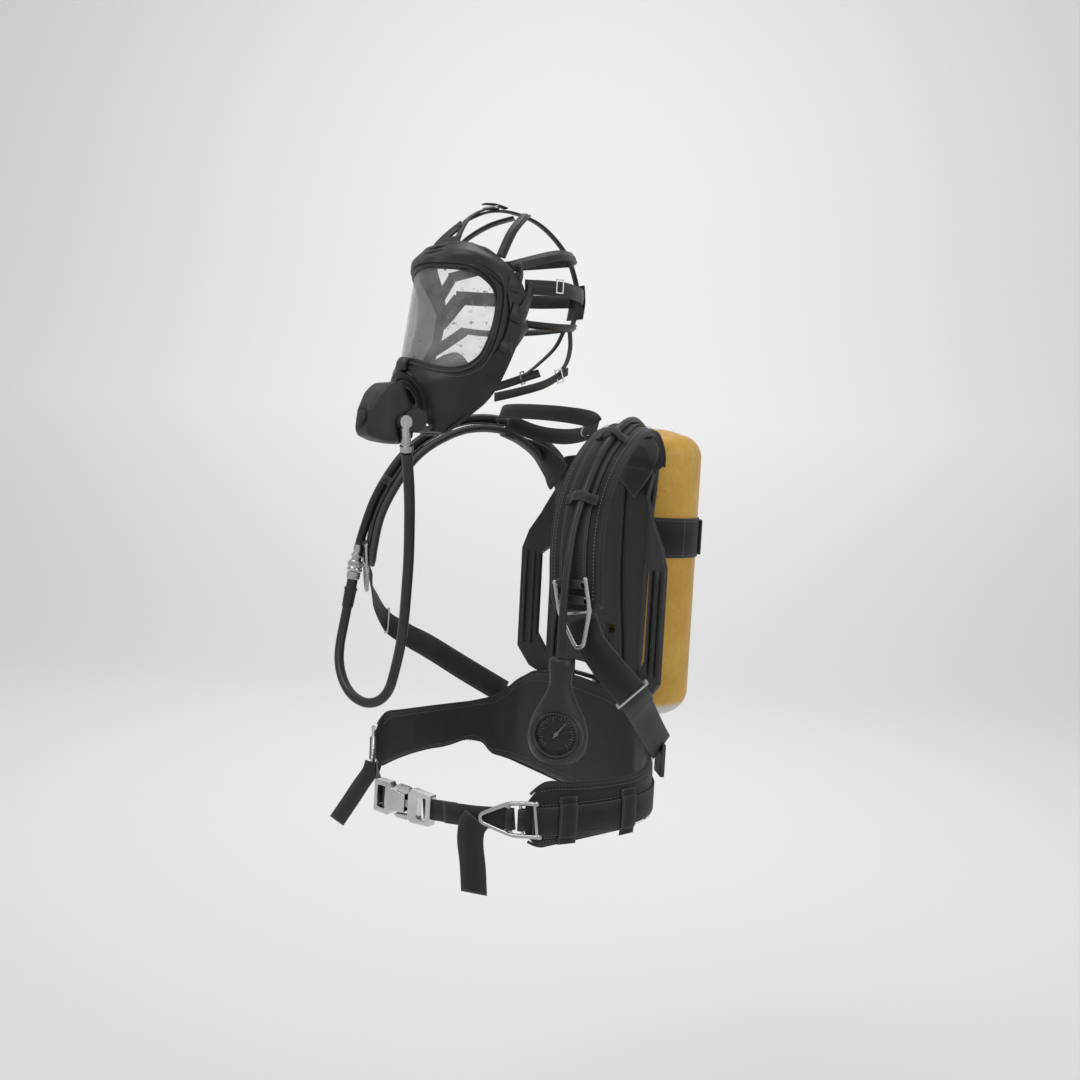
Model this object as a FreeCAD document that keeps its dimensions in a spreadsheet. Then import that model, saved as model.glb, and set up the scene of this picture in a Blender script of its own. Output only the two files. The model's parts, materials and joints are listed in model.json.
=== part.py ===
import FreeCAD, Part
import math
import os
import re
import Sketcher

# Breathing apparatus: a steel air cylinder on a moulded backplate, a padded harness with a waist
# belt, and a full face mask fed through a demand valve.
# Frame: millimetres, +Z up, the wearer faces -Y and the wearer's left side is +X.
# X = 0 is the middle plane, Y = 0 the flat wearer's face of the backplate, Z = 0 the shoulder of
# the two side handles.

Vector = FreeCAD.Vector
Rotation = FreeCAD.Rotation
Placement = FreeCAD.Placement

SIZES = {
    # backplate
    "plate_thick": 7, "plate_top": 140, "plate_bottom": -192, "plate_flat_half": 50,
    "waist_seat_deep": 1.2, "waist_seat_top": -165,
    "plate_edge_half": 97, "plate_edge_back": 10, "handle_half": 152, "handle_inner": 117,
    "handle_inner_back": 3, "handle_back": -4, "handle_top": 0, "handle_bottom": -150, "slot_top": 8,
    "slot_bottom": -152, "window_x": 50, "window_z": -109, "window_wide": 17, "window_tall": 46,
    "foot_gap_half": 26, "foot_gap_top": -148, "foot_bar_low": -169, "foot_bar_tall": 5,
    # air cylinder, band and valve
    "tank_radius": 70, "tank_axis_y": 111, "tank_top": 186, "tank_bottom": -232,
    "tank_wall": 4, "tank_knuckle": 30, "neck_radius": 17, "neck_bottom": -240,
    "thread_radius": 12, "band_bottom": 5, "band_tall": 56, "band_thick": 2.4,
    "band_gap": 0.4, "lever_thick": 4, "lever_half_angle": 17, "saddle_tall": 40,
    "valve_radius": 21, "valve_top": -240.3, "valve_bottom": -284, "outlet_z": -262,
    "wheel_radius": 23, "wheel_thick": 18, "wheel_gap": 1,
    "reducer_radius": 23, "reducer_front": 12, "reducer_back": 50,
    # waist pad and belt
    "pad_thick": 14, "pad_back_y": -1, "pad_straight_half": 110, "pad_corner_radius": 100,
    "pad_side_radius": 330, "pad_end_x": 173, "pad_end_y": -231, "belt_wide": 34,
    "belt_thick": 1.6, "belt_gap": 0.5, "belt_z": -283,
    "loop_wide": 18, "loop_thick": 1.6,
    # steel triangle buckles and the front buckle
    "triangle_long": 76, "triangle_half": 21.5, "triangle_bar": 5, "triangle_thick": 4,
    "buckle_tall": 42, "buckle_deep": 13, "buckle_wall": 3,
    # shoulder harness
    "shoulder_wide": 66, "shoulder_thick": 13, "strap_wide": 38, "strap_thick": 1.8,
    # hoses
    "pressure_hose_radius": 6.5, "gauge_hose_radius": 4.5, "demand_hose_radius": 6.75,
    "coupling_radius": 11,
    # mask, in its own frame on the axis of the visor
    "mask_tilt": 8.26, "mask_y": -203.5, "mask_z": 300, "visor_radius": 90, "visor_thick": 2.5,
    "rubber_thick": 3.5, "frame_thick": 3.5, "head_half_wide": 78, "head_half_deep": 113,
    "head_y": -160, "head_z": 345, "head_up": 99, "band_strap_wide": 14, "band_strap_thick": 2.2,
    # pressure gauge
    "gauge_x": 236, "gauge_y": -237, "gauge_z": -164, "gauge_turn": 38, "dial_radius": 22,
    "case_radius": 25.5, "case_deep": 16, "boot_half_wide": 33.5, "boot_half_deep": 19,
}

doc = FreeCAD.newDocument("breathing_apparatus")
sheet = doc.addObject("Spreadsheet::Sheet", "sizes")
for row, (alias, number) in enumerate(SIZES.items(), start=1):
    sheet.set(f"A{row}", alias.replace("_", " "))
    sheet.set(f"B{row}", str(number))
    sheet.setAlias(f"B{row}", alias)
doc.recompute()

probe = doc.addObject("App::FeaturePython", "probe")
probe.addProperty("App::PropertyFloat", "Number")
finished = []


# ---------------------------------------------------------------- expressions and placing

def bound(text):
    """The expression with each size name pointing into the sheet."""
    return re.sub(r"[a-z][a-z_]+", lambda m: "sizes." + m[0] if m[0] in SIZES else m[0], str(text))


def value(text):
    """The number an expression gives with the sizes as they stand."""
    probe.setExpression("Number", bound(text))
    probe.recompute()
    return probe.Number


def bind(thing, prop, text):
    thing.setExpression(prop, bound(text))


def place(thing, x=0, y=0, z=0, turn=None):
    """Put a piece at (x, y, z), each one an expression, with an optional rotation."""
    thing.Placement = Placement(Vector(0, 0, 0), turn or Rotation())
    for axis, text in zip("xyz", (x, y, z)):
        bind(thing, "Placement.Base." + axis, text)
    return thing


def keep(thing, label):
    """Name a finished sub-part: the label is its node."""
    thing.Label = label
    finished.append(thing)
    return thing


def turned(axis, degrees):
    return Rotation(Vector(*axis), degrees)


def facing(across, along):
    """Rotation whose local X is across and whose local Y is along, made square to it."""
    x = Vector(*across).normalize()
    y = Vector(*along)
    y = (y - x * x.dot(y)).normalize()
    return Rotation(x, y, x.cross(y), "XYZ")


# ---------------------------------------------------------------- sketches and features

def new_body(name):
    return doc.addObject("PartDesign::Body", name)


def new_sketch(body, name, role, lift="0"):
    sketch = body.newObject("Sketcher::SketchObject", name)
    plane = next(f for f in body.Origin.OriginFeatures if f.Role == role)
    sketch.AttachmentSupport = [(plane, "")]
    sketch.MapMode = "FlatFace"
    bind(sketch, "AttachmentOffset.Base.z", lift)
    return sketch


def arc_between(start, end, radius):
    """Arc from start to end; a positive radius bulges to the right of the way."""
    chord = end - start
    half = chord.Length / 2
    side = Vector(chord.y, -chord.x, 0).normalize()
    rise = abs(radius) - math.sqrt(max(radius * radius - half * half, 0))
    middle = (start + end) / 2 + side * math.copysign(rise, radius)
    return Part.Arc(start, middle, end)


def draw_outline(sketch, corners):
    """Closed outline bound to the sheet. A third entry is the radius of the arc to the next corner."""
    points = [Vector(value(c[0]), value(c[1]), 0) for c in corners]
    count = len(points)
    edges = []
    for index, corner in enumerate(corners):
        start, end = points[index], points[(index + 1) % count]
        shape = arc_between(start, end, value(corner[2])) if len(corner) > 2 else Part.LineSegment(start, end)
        edges.append(sketch.addGeometry(shape, False))

    def end_at(edge, point):
        return 1 if sketch.getPoint(edge, 1).distanceToPoint(point) < 1e-6 else 2

    for index, point in enumerate(points):
        before, after = edges[index - 1], edges[index]
        joint = (after, end_at(after, point))
        sketch.addConstraint(Sketcher.Constraint("Coincident", before, end_at(before, point), *joint))
        for kind, text, number, axis in (("DistanceX", corners[index][0], point.x, -2),
                                         ("DistanceY", corners[index][1], point.y, -1)):
            if abs(number) < 1e-9:
                sketch.addConstraint(Sketcher.Constraint("PointOnObject", *joint, axis))
            else:
                made = sketch.addConstraint(Sketcher.Constraint(kind, -1, 1, *joint, number))
                bind(sketch, f"Constraints[{made}]", text)


def draw_circle(sketch, x, y, radius):
    centre = Vector(value(x), value(y), 0)
    edge = sketch.addGeometry(Part.Circle(centre, Vector(0, 0, 1), value(radius)), False)
    made = sketch.addConstraint(Sketcher.Constraint("Radius", edge, value(radius)))
    bind(sketch, f"Constraints[{made}]", radius)


def pad(name, role, outlines, length, lift="0", middle=False, circles=()):
    """A body padded from closed outlines on an origin plane; inner outlines are openings."""
    body = new_body(name)
    sketch = new_sketch(body, name + "_sketch", role, lift)
    for outline in outlines:
        draw_outline(sketch, outline)
    for circle in circles:
        draw_circle(sketch, *circle)
    feature = body.newObject("PartDesign::Pad", name + "_pad")
    feature.Profile = sketch
    bind(feature, "Length", length)
    feature.SideType = "Symmetric" if middle else "One side"
    sketch.Visibility = False
    return body


def revolve(name, outline):
    """A body turned about its own Z axis from an outline of (radius, height) corners."""
    body = new_body(name)
    sketch = new_sketch(body, name + "_sketch", "XZ_Plane")
    draw_outline(sketch, outline)
    feature = body.newObject("PartDesign::Revolution", name + "_turn")
    feature.Profile = sketch
    feature.ReferenceAxis = (sketch, ["V_Axis"])
    feature.Angle = 360
    sketch.Visibility = False
    return body


def common(name, *pieces):
    made = doc.addObject("Part::MultiCommon", name)
    made.Shapes = list(pieces)
    return made


def cut(name, base, tool):
    made = doc.addObject("Part::Cut", name)
    made.Base, made.Tool = base, tool
    return made


def fuse(name, *pieces):
    made = doc.addObject("Part::MultiFuse", name)
    made.Shapes = list(pieces)
    return made


def group(name, *pieces):
    """Separate solids that share one node."""
    made = doc.addObject("Part::Compound", name)
    made.Links = list(pieces)
    return made


def rod(name, radius, length, x=0, y=0, z=0, turn=None):
    made = doc.addObject("Part::Cylinder", name)
    bind(made, "Radius", radius)
    bind(made, "Height", length)
    return place(made, x, y, z, turn)


def block(name, long, wide, tall, x=0, y=0, z=0, turn=None):
    made = doc.addObject("Part::Box", name)
    bind(made, "Length", long)
    bind(made, "Width", wide)
    bind(made, "Height", tall)
    return place(made, x, y, z, turn)


def shape_piece(name, shape, at=None):
    made = doc.addObject("Part::Feature", name)
    made.Shape = shape
    if at:
        made.Placement = at
    return made


def mirrored(corners):
    """The outline of a right half, from bottom to top, closed by its mirror image."""
    left = [("-(" + str(c[0]) + ")",) + tuple(c[1:2]) for c in reversed(corners) if abs(value(c[0])) > 1e-9]
    return list(corners) + left


def rectangle(x_low, x_high, y_low, y_high):
    return [(x_low, y_low), (x_high, y_low), (x_high, y_high), (x_low, y_high)]


ALONG_X = turned((0, 1, 0), 90)
ALONG_Y = turned((1, 0, 0), -90)


# ---------------------------------------------------------------- straps and hoses

def ribbon(points, across, width, thick, lift=0):
    """A flat strap through the points. across is its width direction at each point, lift raises it
    off the line along its own normal."""
    points = [Vector(*p) for p in points]
    last = len(points) - 1
    rails = [[], [], [], []]
    for index, point in enumerate(points):
        way = (points[min(index + 1, last)] - points[max(index - 1, 0)]).normalize()
        side = Vector(*across[index])
        side = (side - way * way.dot(side)).normalize()
        normal = side.cross(way)
        middle = point + normal * lift
        for rail, (a, b) in zip(rails, ((-1, -1), (1, -1), (1, 1), (-1, 1))):
            rail.append(middle + side * (a * width / 2) + normal * (b * thick / 2))
    curves = []
    for rail in rails:
        if last == 1:
            curves.append(Part.LineSegment(*rail).toShape())
        else:
            curve = Part.BSplineCurve()
            curve.interpolate(rail)
            curves.append(curve.toShape())
    faces = [Part.makeRuledSurface(curves[i], curves[(i + 1) % 4]) for i in range(4)]
    for end in (0, -1):
        ring = [rail[end] for rail in rails]
        faces.append(Part.Face(Part.makePolygon(ring + ring[:1])))
    solid = Part.Solid(Part.Shell(faces))
    if solid.Volume < 0:
        solid.reverse()
    return solid


def hose_path(points):
    """Straight runs joined by tangent arcs as large as the runs allow, with the arcs' radii."""
    points = [Vector(*p) for p in points]
    edges, radii = [], []
    start = points[0]
    for before, corner, after in zip(points, points[1:], points[2:]):
        back, ahead = before - corner, after - corner
        half_turn = (math.pi - back.getAngle(ahead)) / 2
        trim = 0.45 * min(back.Length, ahead.Length)
        radius = trim / math.tan(half_turn)
        first = corner + back.normalize() * trim
        second = corner + ahead.normalize() * trim
        inward = (back + ahead).normalize()
        middle = corner + inward * (radius / math.cos(half_turn) - radius)
        edges.append(Part.LineSegment(start, first).toShape())
        edges.append(Part.Arc(first, middle, second).toShape())
        radii.append(round(radius, 1))
        start = second
    edges.append(Part.LineSegment(start, points[-1]).toShape())
    return Part.Wire(edges), radii


def hose(label, points, radius_name):
    radius = value(radius_name)
    path, radii = hose_path(points)
    way = Vector(*points[1]) - Vector(*points[0])
    ring = Part.Wire(Part.makeCircle(radius, Vector(*points[0]), way))
    solid = path.makePipeShell([ring], True, False)
    ratio = solid.Volume / (math.pi * radius * radius * path.Length)
    print(f"{label}: length {path.Length:.0f}, volume ratio {ratio:.4f}, bend radii {radii}")
    return keep(shape_piece(label, solid), label)


def mirror_x(points):
    return [(-x, y, z) for x, y, z in points]


# ---------------------------------------------------------------- backplate and cylinder

def backplate():
    """Moulded plate with a handle down each side: one plan section cut to the plate's outline."""
    front = [("0", "0"), ("plate_flat_half", "0"), ("plate_edge_half", "plate_edge_back"),
             ("handle_inner", "handle_inner_back"), ("handle_half", "handle_back")]
    section = mirrored(front + [(x, f"({y}) + plate_thick") for x, y in reversed(front)])
    slab = pad("plate_slab", "XY_Plane", [section], "plate_top - plate_bottom + 10", "plate_bottom")
    rim = [("0", "plate_bottom"), ("82", "plate_bottom"), ("handle_half - 24", "plate_bottom + 16"),
           ("handle_half", "handle_bottom"), ("handle_half", "handle_top"),
           ("handle_half - 12", "handle_top + 28"), ("handle_inner + 1", "handle_top + 56"),
           ("plate_edge_half", "handle_top + 91"), ("plate_edge_half + 14", "plate_top - 18"),
           ("70", "plate_top"), ("0", "plate_top + 6")]
    slots, windows = [], []
    for side in ("", "-"):
        slots.append([(side + "(plate_edge_half + 2)", "slot_top"),
                      (side + "handle_inner", "slot_top - 14"),
                      (side + "handle_inner", "slot_bottom + 26"),
                      (side + "(plate_edge_half + 2)", "slot_bottom")])
        inner, outer = side + "(window_x - window_wide / 2)", side + "(window_x + window_wide / 2)"
        low, high = "window_z - window_tall / 2", "window_z + window_tall / 2"
        windows.append([(inner, low), (outer, low), (outer, high), (inner, high)])
    for low, high in (("plate_bottom + 8", "foot_bar_low"), ("foot_bar_low + foot_bar_tall", "foot_gap_top")):
        windows.append(rectangle("-foot_gap_half", "foot_gap_half", low, high))
    silhouette = pad("plate_silhouette", "XZ_Plane", [mirrored(rim)] + slots + windows, "160", middle=True)
    seat = pad("waist_seat", "XY_Plane", [rectangle("-60", "60", "-4", "waist_seat_deep")],
               "waist_seat_top - plate_bottom + 20", "plate_bottom - 20")
    keep(cut("plate_blank", common("plate_form", slab, silhouette), seat), "backplate")


def air_cylinder():
    outside = [("neck_radius", "neck_bottom"), ("neck_radius", "tank_bottom + 1"),
               ("tank_radius - tank_knuckle", "tank_bottom + 6", "tank_knuckle + 4"),
               ("tank_radius", "tank_bottom + 42"),
               ("tank_radius", "tank_top - tank_knuckle - 8", "tank_knuckle + 4"),
               ("tank_radius - tank_knuckle", "tank_top - 7", "110"), ("6", "tank_top"),
               ("0", "tank_top")]
    inside = [("0", "tank_top - tank_wall"), ("6", "tank_top - tank_wall", "-106"),
              ("tank_radius - tank_knuckle", "tank_top - 7 - tank_wall", "-tank_knuckle"),
              ("tank_radius - tank_wall", "tank_top - tank_knuckle - 8"),
              ("tank_radius - tank_wall", "tank_bottom + 42", "-tank_knuckle"),
              ("tank_radius - tank_knuckle", "tank_bottom + 6 + tank_wall"),
              ("thread_radius", "tank_bottom + 4"), ("thread_radius", "neck_bottom")]
    place(keep(revolve("tank", outside + inside), "air_cylinder"), 0, "tank_axis_y", 0)


def cylinder_band():
    inner = "tank_radius + band_gap"
    band = revolve("band_ring", [(inner, "band_bottom"), (inner + " + band_thick", "band_bottom"),
                                 (inner + " + band_thick", "band_bottom + band_tall"),
                                 (inner, "band_bottom + band_tall")])
    place(keep(band, "cylinder_band"), 0, "tank_axis_y", 0)


def band_lever():
    """Curved cam lever on the rear left of the band, hinged on an upright pin."""
    low = "tank_radius + band_gap + band_thick + 0.6"
    plate = revolve("lever_ring", [(low, "band_bottom + 3"), (low + " + lever_thick", "band_bottom + 3"),
                                   (low + " + lever_thick", "band_bottom + band_tall - 3"),
                                   (low, "band_bottom + band_tall - 3")])
    reach = value("tank_radius + 16")
    spread = math.radians(value("lever_half_angle"))
    wedge = pad("lever_wedge", "XY_Plane",
                [[("30", "0"), (str(reach * math.cos(spread)), str(reach * math.sin(spread))),
                  (str(reach * 1.05), "0"),
                  (str(reach * math.cos(spread)), str(-reach * math.sin(spread)))]], "120", "-30")
    lever = common("lever_blank", plate, wedge)
    place(keep(lever, "band_lever"), 0, "tank_axis_y", 0, turned((0, 0, 1), 52))
    pin_angle = math.radians(52 + value("lever_half_angle") + 3)
    radius = value("tank_radius + band_gap + band_thick + 3")
    pin = rod("lever_pin", "2.4", "band_tall + 4", str(radius * math.cos(pin_angle)),
              str(radius * math.sin(pin_angle)) + " + tank_axis_y", "band_bottom - 2")
    keep(pin, "band_lever_pin")


def saddles():
    """Two rubber saddles that carry the cylinder on the plate."""
    blocks = [block("saddle_block_" + end, "84", "46", "saddle_tall", "-42", "plate_thick + 0.3", z)
              for end, z in (("upper", "70"), ("lower", "-140"))]
    seat = rod("saddle_seat", "tank_radius + 0.3", "400", 0, "tank_axis_y", "-200")
    keep(cut("saddle_pair", group("saddle_blocks", *blocks), seat), "cylinder_saddles")


def cylinder_valve():
    body = revolve("valve_turned", [("0", "valve_bottom"), ("valve_radius - 4", "valve_bottom"),
                                    ("valve_radius", "valve_bottom + 4"), ("valve_radius", "valve_top - 2"),
                                    ("valve_radius - 2", "valve_top"), ("0", "valve_top")])
    place(body, 0, "tank_axis_y", 0)
    outlet = rod("valve_outlet", "11", "30", 0, "tank_axis_y - 44", "outlet_z", ALONG_Y)
    gland = rod("valve_gland", "9", "30", "-32", "tank_axis_y", "outlet_z", ALONG_X)
    keep(fuse("valve_blank", body, outlet, gland), "cylinder_valve_body")
    plug = revolve("burst_turned", [("0", "0"), ("8", "0"), ("8", "5"), ("10", "6"), ("10", "13"),
                                    ("8", "15"), ("0", "15")])
    place(keep(plug, "burst_disc_plug"), "valve_radius - 0.4", "tank_axis_y", "outlet_z", ALONG_X)
    wheel = revolve("wheel_turned", [("0", "0"), ("wheel_radius - 5", "0"), ("wheel_radius", "4"),
                                     ("wheel_radius", "wheel_thick - 4"),
                                     ("wheel_radius - 4", "wheel_thick"), ("0", "wheel_thick")])
    grooves = [rod(f"wheel_groove_{n}", "3", "wheel_thick + 2",
                   str(25 * math.cos(math.radians(36 * n))), str(25 * math.sin(math.radians(36 * n))), "-1")
               for n in range(10)]
    knob = cut("wheel_cut", wheel, group("wheel_grooves", *grooves))
    place(keep(knob, "valve_handwheel"), "-32 - wheel_gap", "tank_axis_y", "outlet_z",
          turned((0, 1, 0), -90))


def reducer():
    body = revolve("reducer_turned", [("0", "0"), ("reducer_radius - 2", "0"), ("reducer_radius", "2"),
                                      ("reducer_radius", "26"), ("17", "32"),
                                      ("17", "reducer_back - reducer_front"),
                                      ("0", "reducer_back - reducer_front")])
    place(body, 0, "reducer_front", "outlet_z", ALONG_Y)
    ports = [rod(f"reducer_port_{side}", "6", "34", x, "reducer_front + 14", "outlet_z", turn)
             for side, x, turn in (("left", 0, ALONG_X), ("right", 0, turned((0, 1, 0), -90)))]
    keep(fuse("reducer_blank", body, *ports), "pressure_reducer")
    nut = revolve("union_turned", [("0", "0"), ("15", "0"), ("17", "2"), ("17", "13"), ("15", "15"),
                                   ("0", "15")])
    place(keep(nut, "reducer_handwheel"), 0, "reducer_back + 0.5", "outlet_z", ALONG_Y)
    relief = revolve("relief_turned", [("0", "0"), ("7", "0"), ("7", "12"), ("5", "14"), ("5", "20"),
                                       ("0", "20")])
    place(keep(relief, "relief_valve"), 0, "reducer_front + 14", "outlet_z - reducer_radius - 0.2",
          turned((1, 0, 0), 180))
    arm = block("bracket_arm", "30", "9", "60", "-15", "reducer_front - 10", "outlet_z - 8")
    keep(arm, "reducer_bracket")


# ---------------------------------------------------------------- waist pad and belt

def waist_side(offset):
    """Right half of the waist pad's plan, moved in by offset: back, corner, side, end."""
    radius = f"(pad_corner_radius - {offset})"
    return [("pad_straight_half", f"pad_back_y - {offset}", "-" + radius),
            (f"pad_straight_half + pad_corner_radius - {offset}", "pad_back_y - pad_corner_radius",
             f"-(pad_side_radius - {offset})"),
            (f"pad_end_x - 0.92 * {offset}", f"pad_end_y + 0.38 * {offset}")]


def waist_ring(name, inner, outer, front_only=False):
    """Plan ring between two offsets, open at the front."""
    out, into = waist_side(outer), waist_side(inner)
    right = [out[0], out[1], out[2], (into[2][0], into[2][1], "pad_side_radius - " + inner),
             (into[1][0], into[1][1], "pad_corner_radius - " + inner), (into[0][0], into[0][1])]
    left_out = [("-(" + out[2][0] + ")", out[2][1], "-(pad_side_radius - " + outer + ")"),
                ("-(" + out[1][0] + ")", out[1][1], "-(pad_corner_radius - " + outer + ")"),
                ("-(" + out[0][0] + ")", out[0][1])]
    left_in = [("-(" + into[0][0] + ")", into[0][1], "pad_corner_radius - " + inner),
               ("-(" + into[1][0] + ")", into[1][1], "pad_side_radius - " + inner),
               ("-(" + into[2][0] + ")", into[2][1])]
    return pad(name, "XY_Plane", [right + left_in + left_out], "220", "-350")


def waist_pad():
    ring = waist_ring("waist_plan", "pad_thick", "0")
    rim = [("0", "-328"), ("120", "-326"), ("180", "-317"), ("220", "-300"), ("220", "-247"),
           ("192", "-240"), ("165", "-228"), ("135", "-198"), ("103", "-180"), ("60", "-171"),
           ("0", "-168")]
    height = pad("waist_height", "XZ_Plane", [mirrored(rim)], "600", middle=True)
    ends = pad("waist_ends", "YZ_Plane",
               [[("-236", "-262"), ("-214", "-240"), ("20", "-150"), ("20", "-340"), ("-24", "-340"),
                 ("-38", "-302"), ("-60", "-298"), ("-85", "-306"), ("-112", "-318"),
                 ("-210", "-322"), ("-236", "-300")]], "460", middle=True)
    keep(common("waist_blank", ring, height, ends), "waist_pad")


def waist_belt():
    """Belt webbing along the outside of the pad, and the stitched loops that hold it."""
    ring = waist_ring("belt_plan", "(-belt_gap)", "(-belt_gap - belt_thick)")
    sides = [block("belt_side_" + side, "140", "235", "belt_wide", x, "-226", "belt_z - belt_wide / 2")
             for side, x in (("left", "100"), ("right", "-240"))]
    wrapped = common("belt_blank", ring, group("belt_sides", *sides))
    wide, thick = value("belt_wide - 8"), value("belt_thick")
    run = ribbon([on_buckle(-34.5), (-70, -283, -296), (-104, -267, -292)], [(0, 0, 1)] * 3, wide, thick)
    keep(group("belt_runs", wrapped, shape_piece("webbing_right", run)), "waist_webbing")
    ring = waist_ring("loop_plan", "(-belt_gap * 2 - belt_thick)",
                      "(-belt_gap * 2 - belt_thick - loop_thick)")
    loops = []
    for side, x in (("left", "120"), ("right", "-260")):
        for end, y in (("front", "-196"), ("rear", "-110")):
            loops.append(block(f"loop_{end}_{side}", "140", "loop_wide", "belt_wide + 22", x, y,
                               "belt_z - belt_wide / 2 - 11"))
    keep(common("loop_blank", ring, group("loop_blocks", *loops)), "waist_loops")


def triangle(label, tip, end, across):
    """Flat steel buckle, from its tip to its end: a point, then three bars that the webbing wraps."""
    half, bar, long = "triangle_half", "triangle_bar", "triangle_long"
    outer = [("-4", "0"), ("4", "0"), (half, "0.5 * triangle_long"), (half, long), ("-" + half, long),
             ("-" + half, "0.5 * triangle_long")]
    point = [("0", "9"), (f"{half} - {bar} - 1", f"0.5 * {long} - 1"),
             (f"-{half} + {bar} + 1", f"0.5 * {long} - 1")]
    slots = [[(f"-{half} + {bar}", f"{low} * {long}"), (f"{half} - {bar}", f"{low} * {long}"),
              (f"{half} - {bar}", f"{high} * {long}"), (f"-{half} + {bar}", f"{high} * {long}")]
             for low, high in ((0.57, 0.7), (0.76, 0.93))]
    made = pad(label + "_plate", "XY_Plane", [outer, point] + slots, "triangle_thick", middle=True)
    way = Vector(*end) - Vector(*tip)
    place(keep(made, label), *tip, turn=facing(across, way))


BELT_TIP = (127, -260.5, -289.3)
BELT_END = (195, -222.1, -278.7)
SHOULDER_TIP = (241.5, -216.5, -72)
SHOULDER_END = (231.5, -227.5, 3)


def triangles():
    for side, sign in (("left", 1), ("right", -1)):
        triangle("belt_triangle_" + side, (sign * BELT_TIP[0], *BELT_TIP[1:]),
                 (sign * BELT_END[0], *BELT_END[1:]), (0, 0, 1))
        triangle("shoulder_triangle_" + side, (sign * SHOULDER_TIP[0], *SHOULDER_TIP[1:]),
                 (sign * SHOULDER_END[0], *SHOULDER_END[1:]), (sign * 0.927, 0.375, 0))


def belt_tails():
    """On each triangle: the strap through it to its bars, and the free end that hangs from its tip."""
    wide, thick = value("belt_wide"), value("belt_thick")
    for side, sign, start, tail, across in (
            ("left", 1, (101, -265.6, -292.5),
             [(119, -264, -301), (117, -263.5, -322), (115, -257, -352), (112, -251, -388)], (0.85, 0.5, 0.1)),
            ("right", -1, (-101, -272, -293),
             [(-123, -264, -297), (-124, -277, -315), (-125, -293, -337), (-126, -312, -362)],
             (0.95, 0.2, 0.1))):
        through = ribbon([start, (sign * 125.5, -257.8, -289), (sign * 164.7, -235.7, -283.4)],
                         [(0, 0, 1)] * 3, wide - 8, thick)
        pieces = [shape_piece("through_" + side, through),
                  shape_piece("tail_" + side, ribbon(tail, [across] * 4, wide, thick))]
        keep(group("belt_end_" + side, *pieces), "belt_tail_" + side)


# The front buckle lies along the wearer's left belt, from its left frame to its right frame.
BUCKLE_ALONG = Vector(0.953, 0.302, -0.02).normalize()
BUCKLE_CENTRE = Vector(4, -287, -302)
BUCKLE_TURN = facing(BUCKLE_ALONG, (0, 0, 1))


def on_buckle(along, up=0, out=0):
    """A point at a distance along the buckle, up it and out of its front face."""
    frame = Placement(BUCKLE_CENTRE, BUCKLE_TURN)
    return frame.multVec(Vector(along, up, out))


def buckle_plate(name, outlines, length):
    """A piece of the buckle, drawn along and up it, and padded through its depth."""
    made = pad(name, "XY_Plane", outlines, length, middle=True)
    made.Placement = Placement(BUCKLE_CENTRE, BUCKLE_TURN)
    return made


def front_buckle():
    half = "buckle_tall / 2"
    housing = buckle_plate("housing", [
        [("-46", "-" + half + " + 1"), ("-22", "-" + half), ("-18", "-" + half + " + 6"), ("4", "-11.5"),
         ("4", "11.5"), ("-18", half + " - 6"), ("-22", half), ("-46", half + " - 1")],
        rectangle("-41", "-28", "-14", "14")], "buckle_deep")
    slot = buckle_plate("housing_slot", [rectangle("-21", "6", "-10", "10")],
                        "buckle_deep - 2 * buckle_wall")
    keep(cut("female_blank", housing, slot), "buckle_female")
    male = buckle_plate("male_frame", [
        [("9", "-" + half + " + 4"), ("14", "-" + half), ("46", "-" + half + " + 2"),
         ("46", half + " - 2"), ("14", half), ("9", half + " - 4")],
        rectangle("24", "38", "-14", "14")], "buckle_deep - 1")
    tongue = buckle_plate("male_tongue", [rectangle("-16", "10", "-5", "5")],
                          "buckle_deep - 2 * buckle_wall - 1")
    keep(fuse("male_blank", male, tongue), "buckle_male")
    for name, sign in (("upper", ""), ("lower", "-")):
        tab = buckle_plate("tab_" + name, [
            [("-15", sign + "(15 + 2.5)"), ("8.5", sign + "14"), ("8.5", sign + "20"),
             ("-10", sign + "21")]], "buckle_deep - 4")
        keep(tab, "buckle_tab_" + name)


def front_webbing():
    window = on_buckle(31)
    end = Vector(104, -261.5, -292.5)
    left = ribbon([window, (window + end) / 2, end], [(0, 0, 1)] * 3, value("belt_wide - 8"),
                  value("belt_thick"))
    keep(shape_piece("webbing_left", left), "front_webbing")


# ---------------------------------------------------------------- shoulder harness

# Centre line of the wearer's left shoulder pad from its front tip over the shoulder to the plate,
# each point with the angle of the pad's width direction about Z.
SHOULDER_LINE = [
    ((231, -217, -31), 22), ((228, -216, -2), 22), ((220, -211, 42), 22), ((208, -195, 86), 23),
    ((198, -170, 126), 25), ((184, -137, 154), 28), ((164, -99, 172), 31), ((138, -58, 172), 34),
    ((116, -24, 150), 34), ((105, -12, 128), 30)]


def shoulder_lines(sign):
    points = [(sign * x, y, z) for (x, y, z), angle in SHOULDER_LINE]
    across = [(math.cos(math.radians(angle)), sign * math.sin(math.radians(angle)), 0)
              for point, angle in SHOULDER_LINE]
    return points, across


def on_shoulder(sign, index, side, out):
    """A point of the pad's line moved along its width and out of its outer face."""
    points, across = shoulder_lines(sign)
    points = [Vector(*p) for p in points]
    way = (points[min(index + 1, len(points) - 1)] - points[max(index - 1, 0)]).normalize()
    width = Vector(*across[index])
    width = (width - way * way.dot(width)).normalize()
    moved = points[index] + width * side + width.cross(way) * out
    return (moved.x, moved.y, moved.z)


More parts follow.
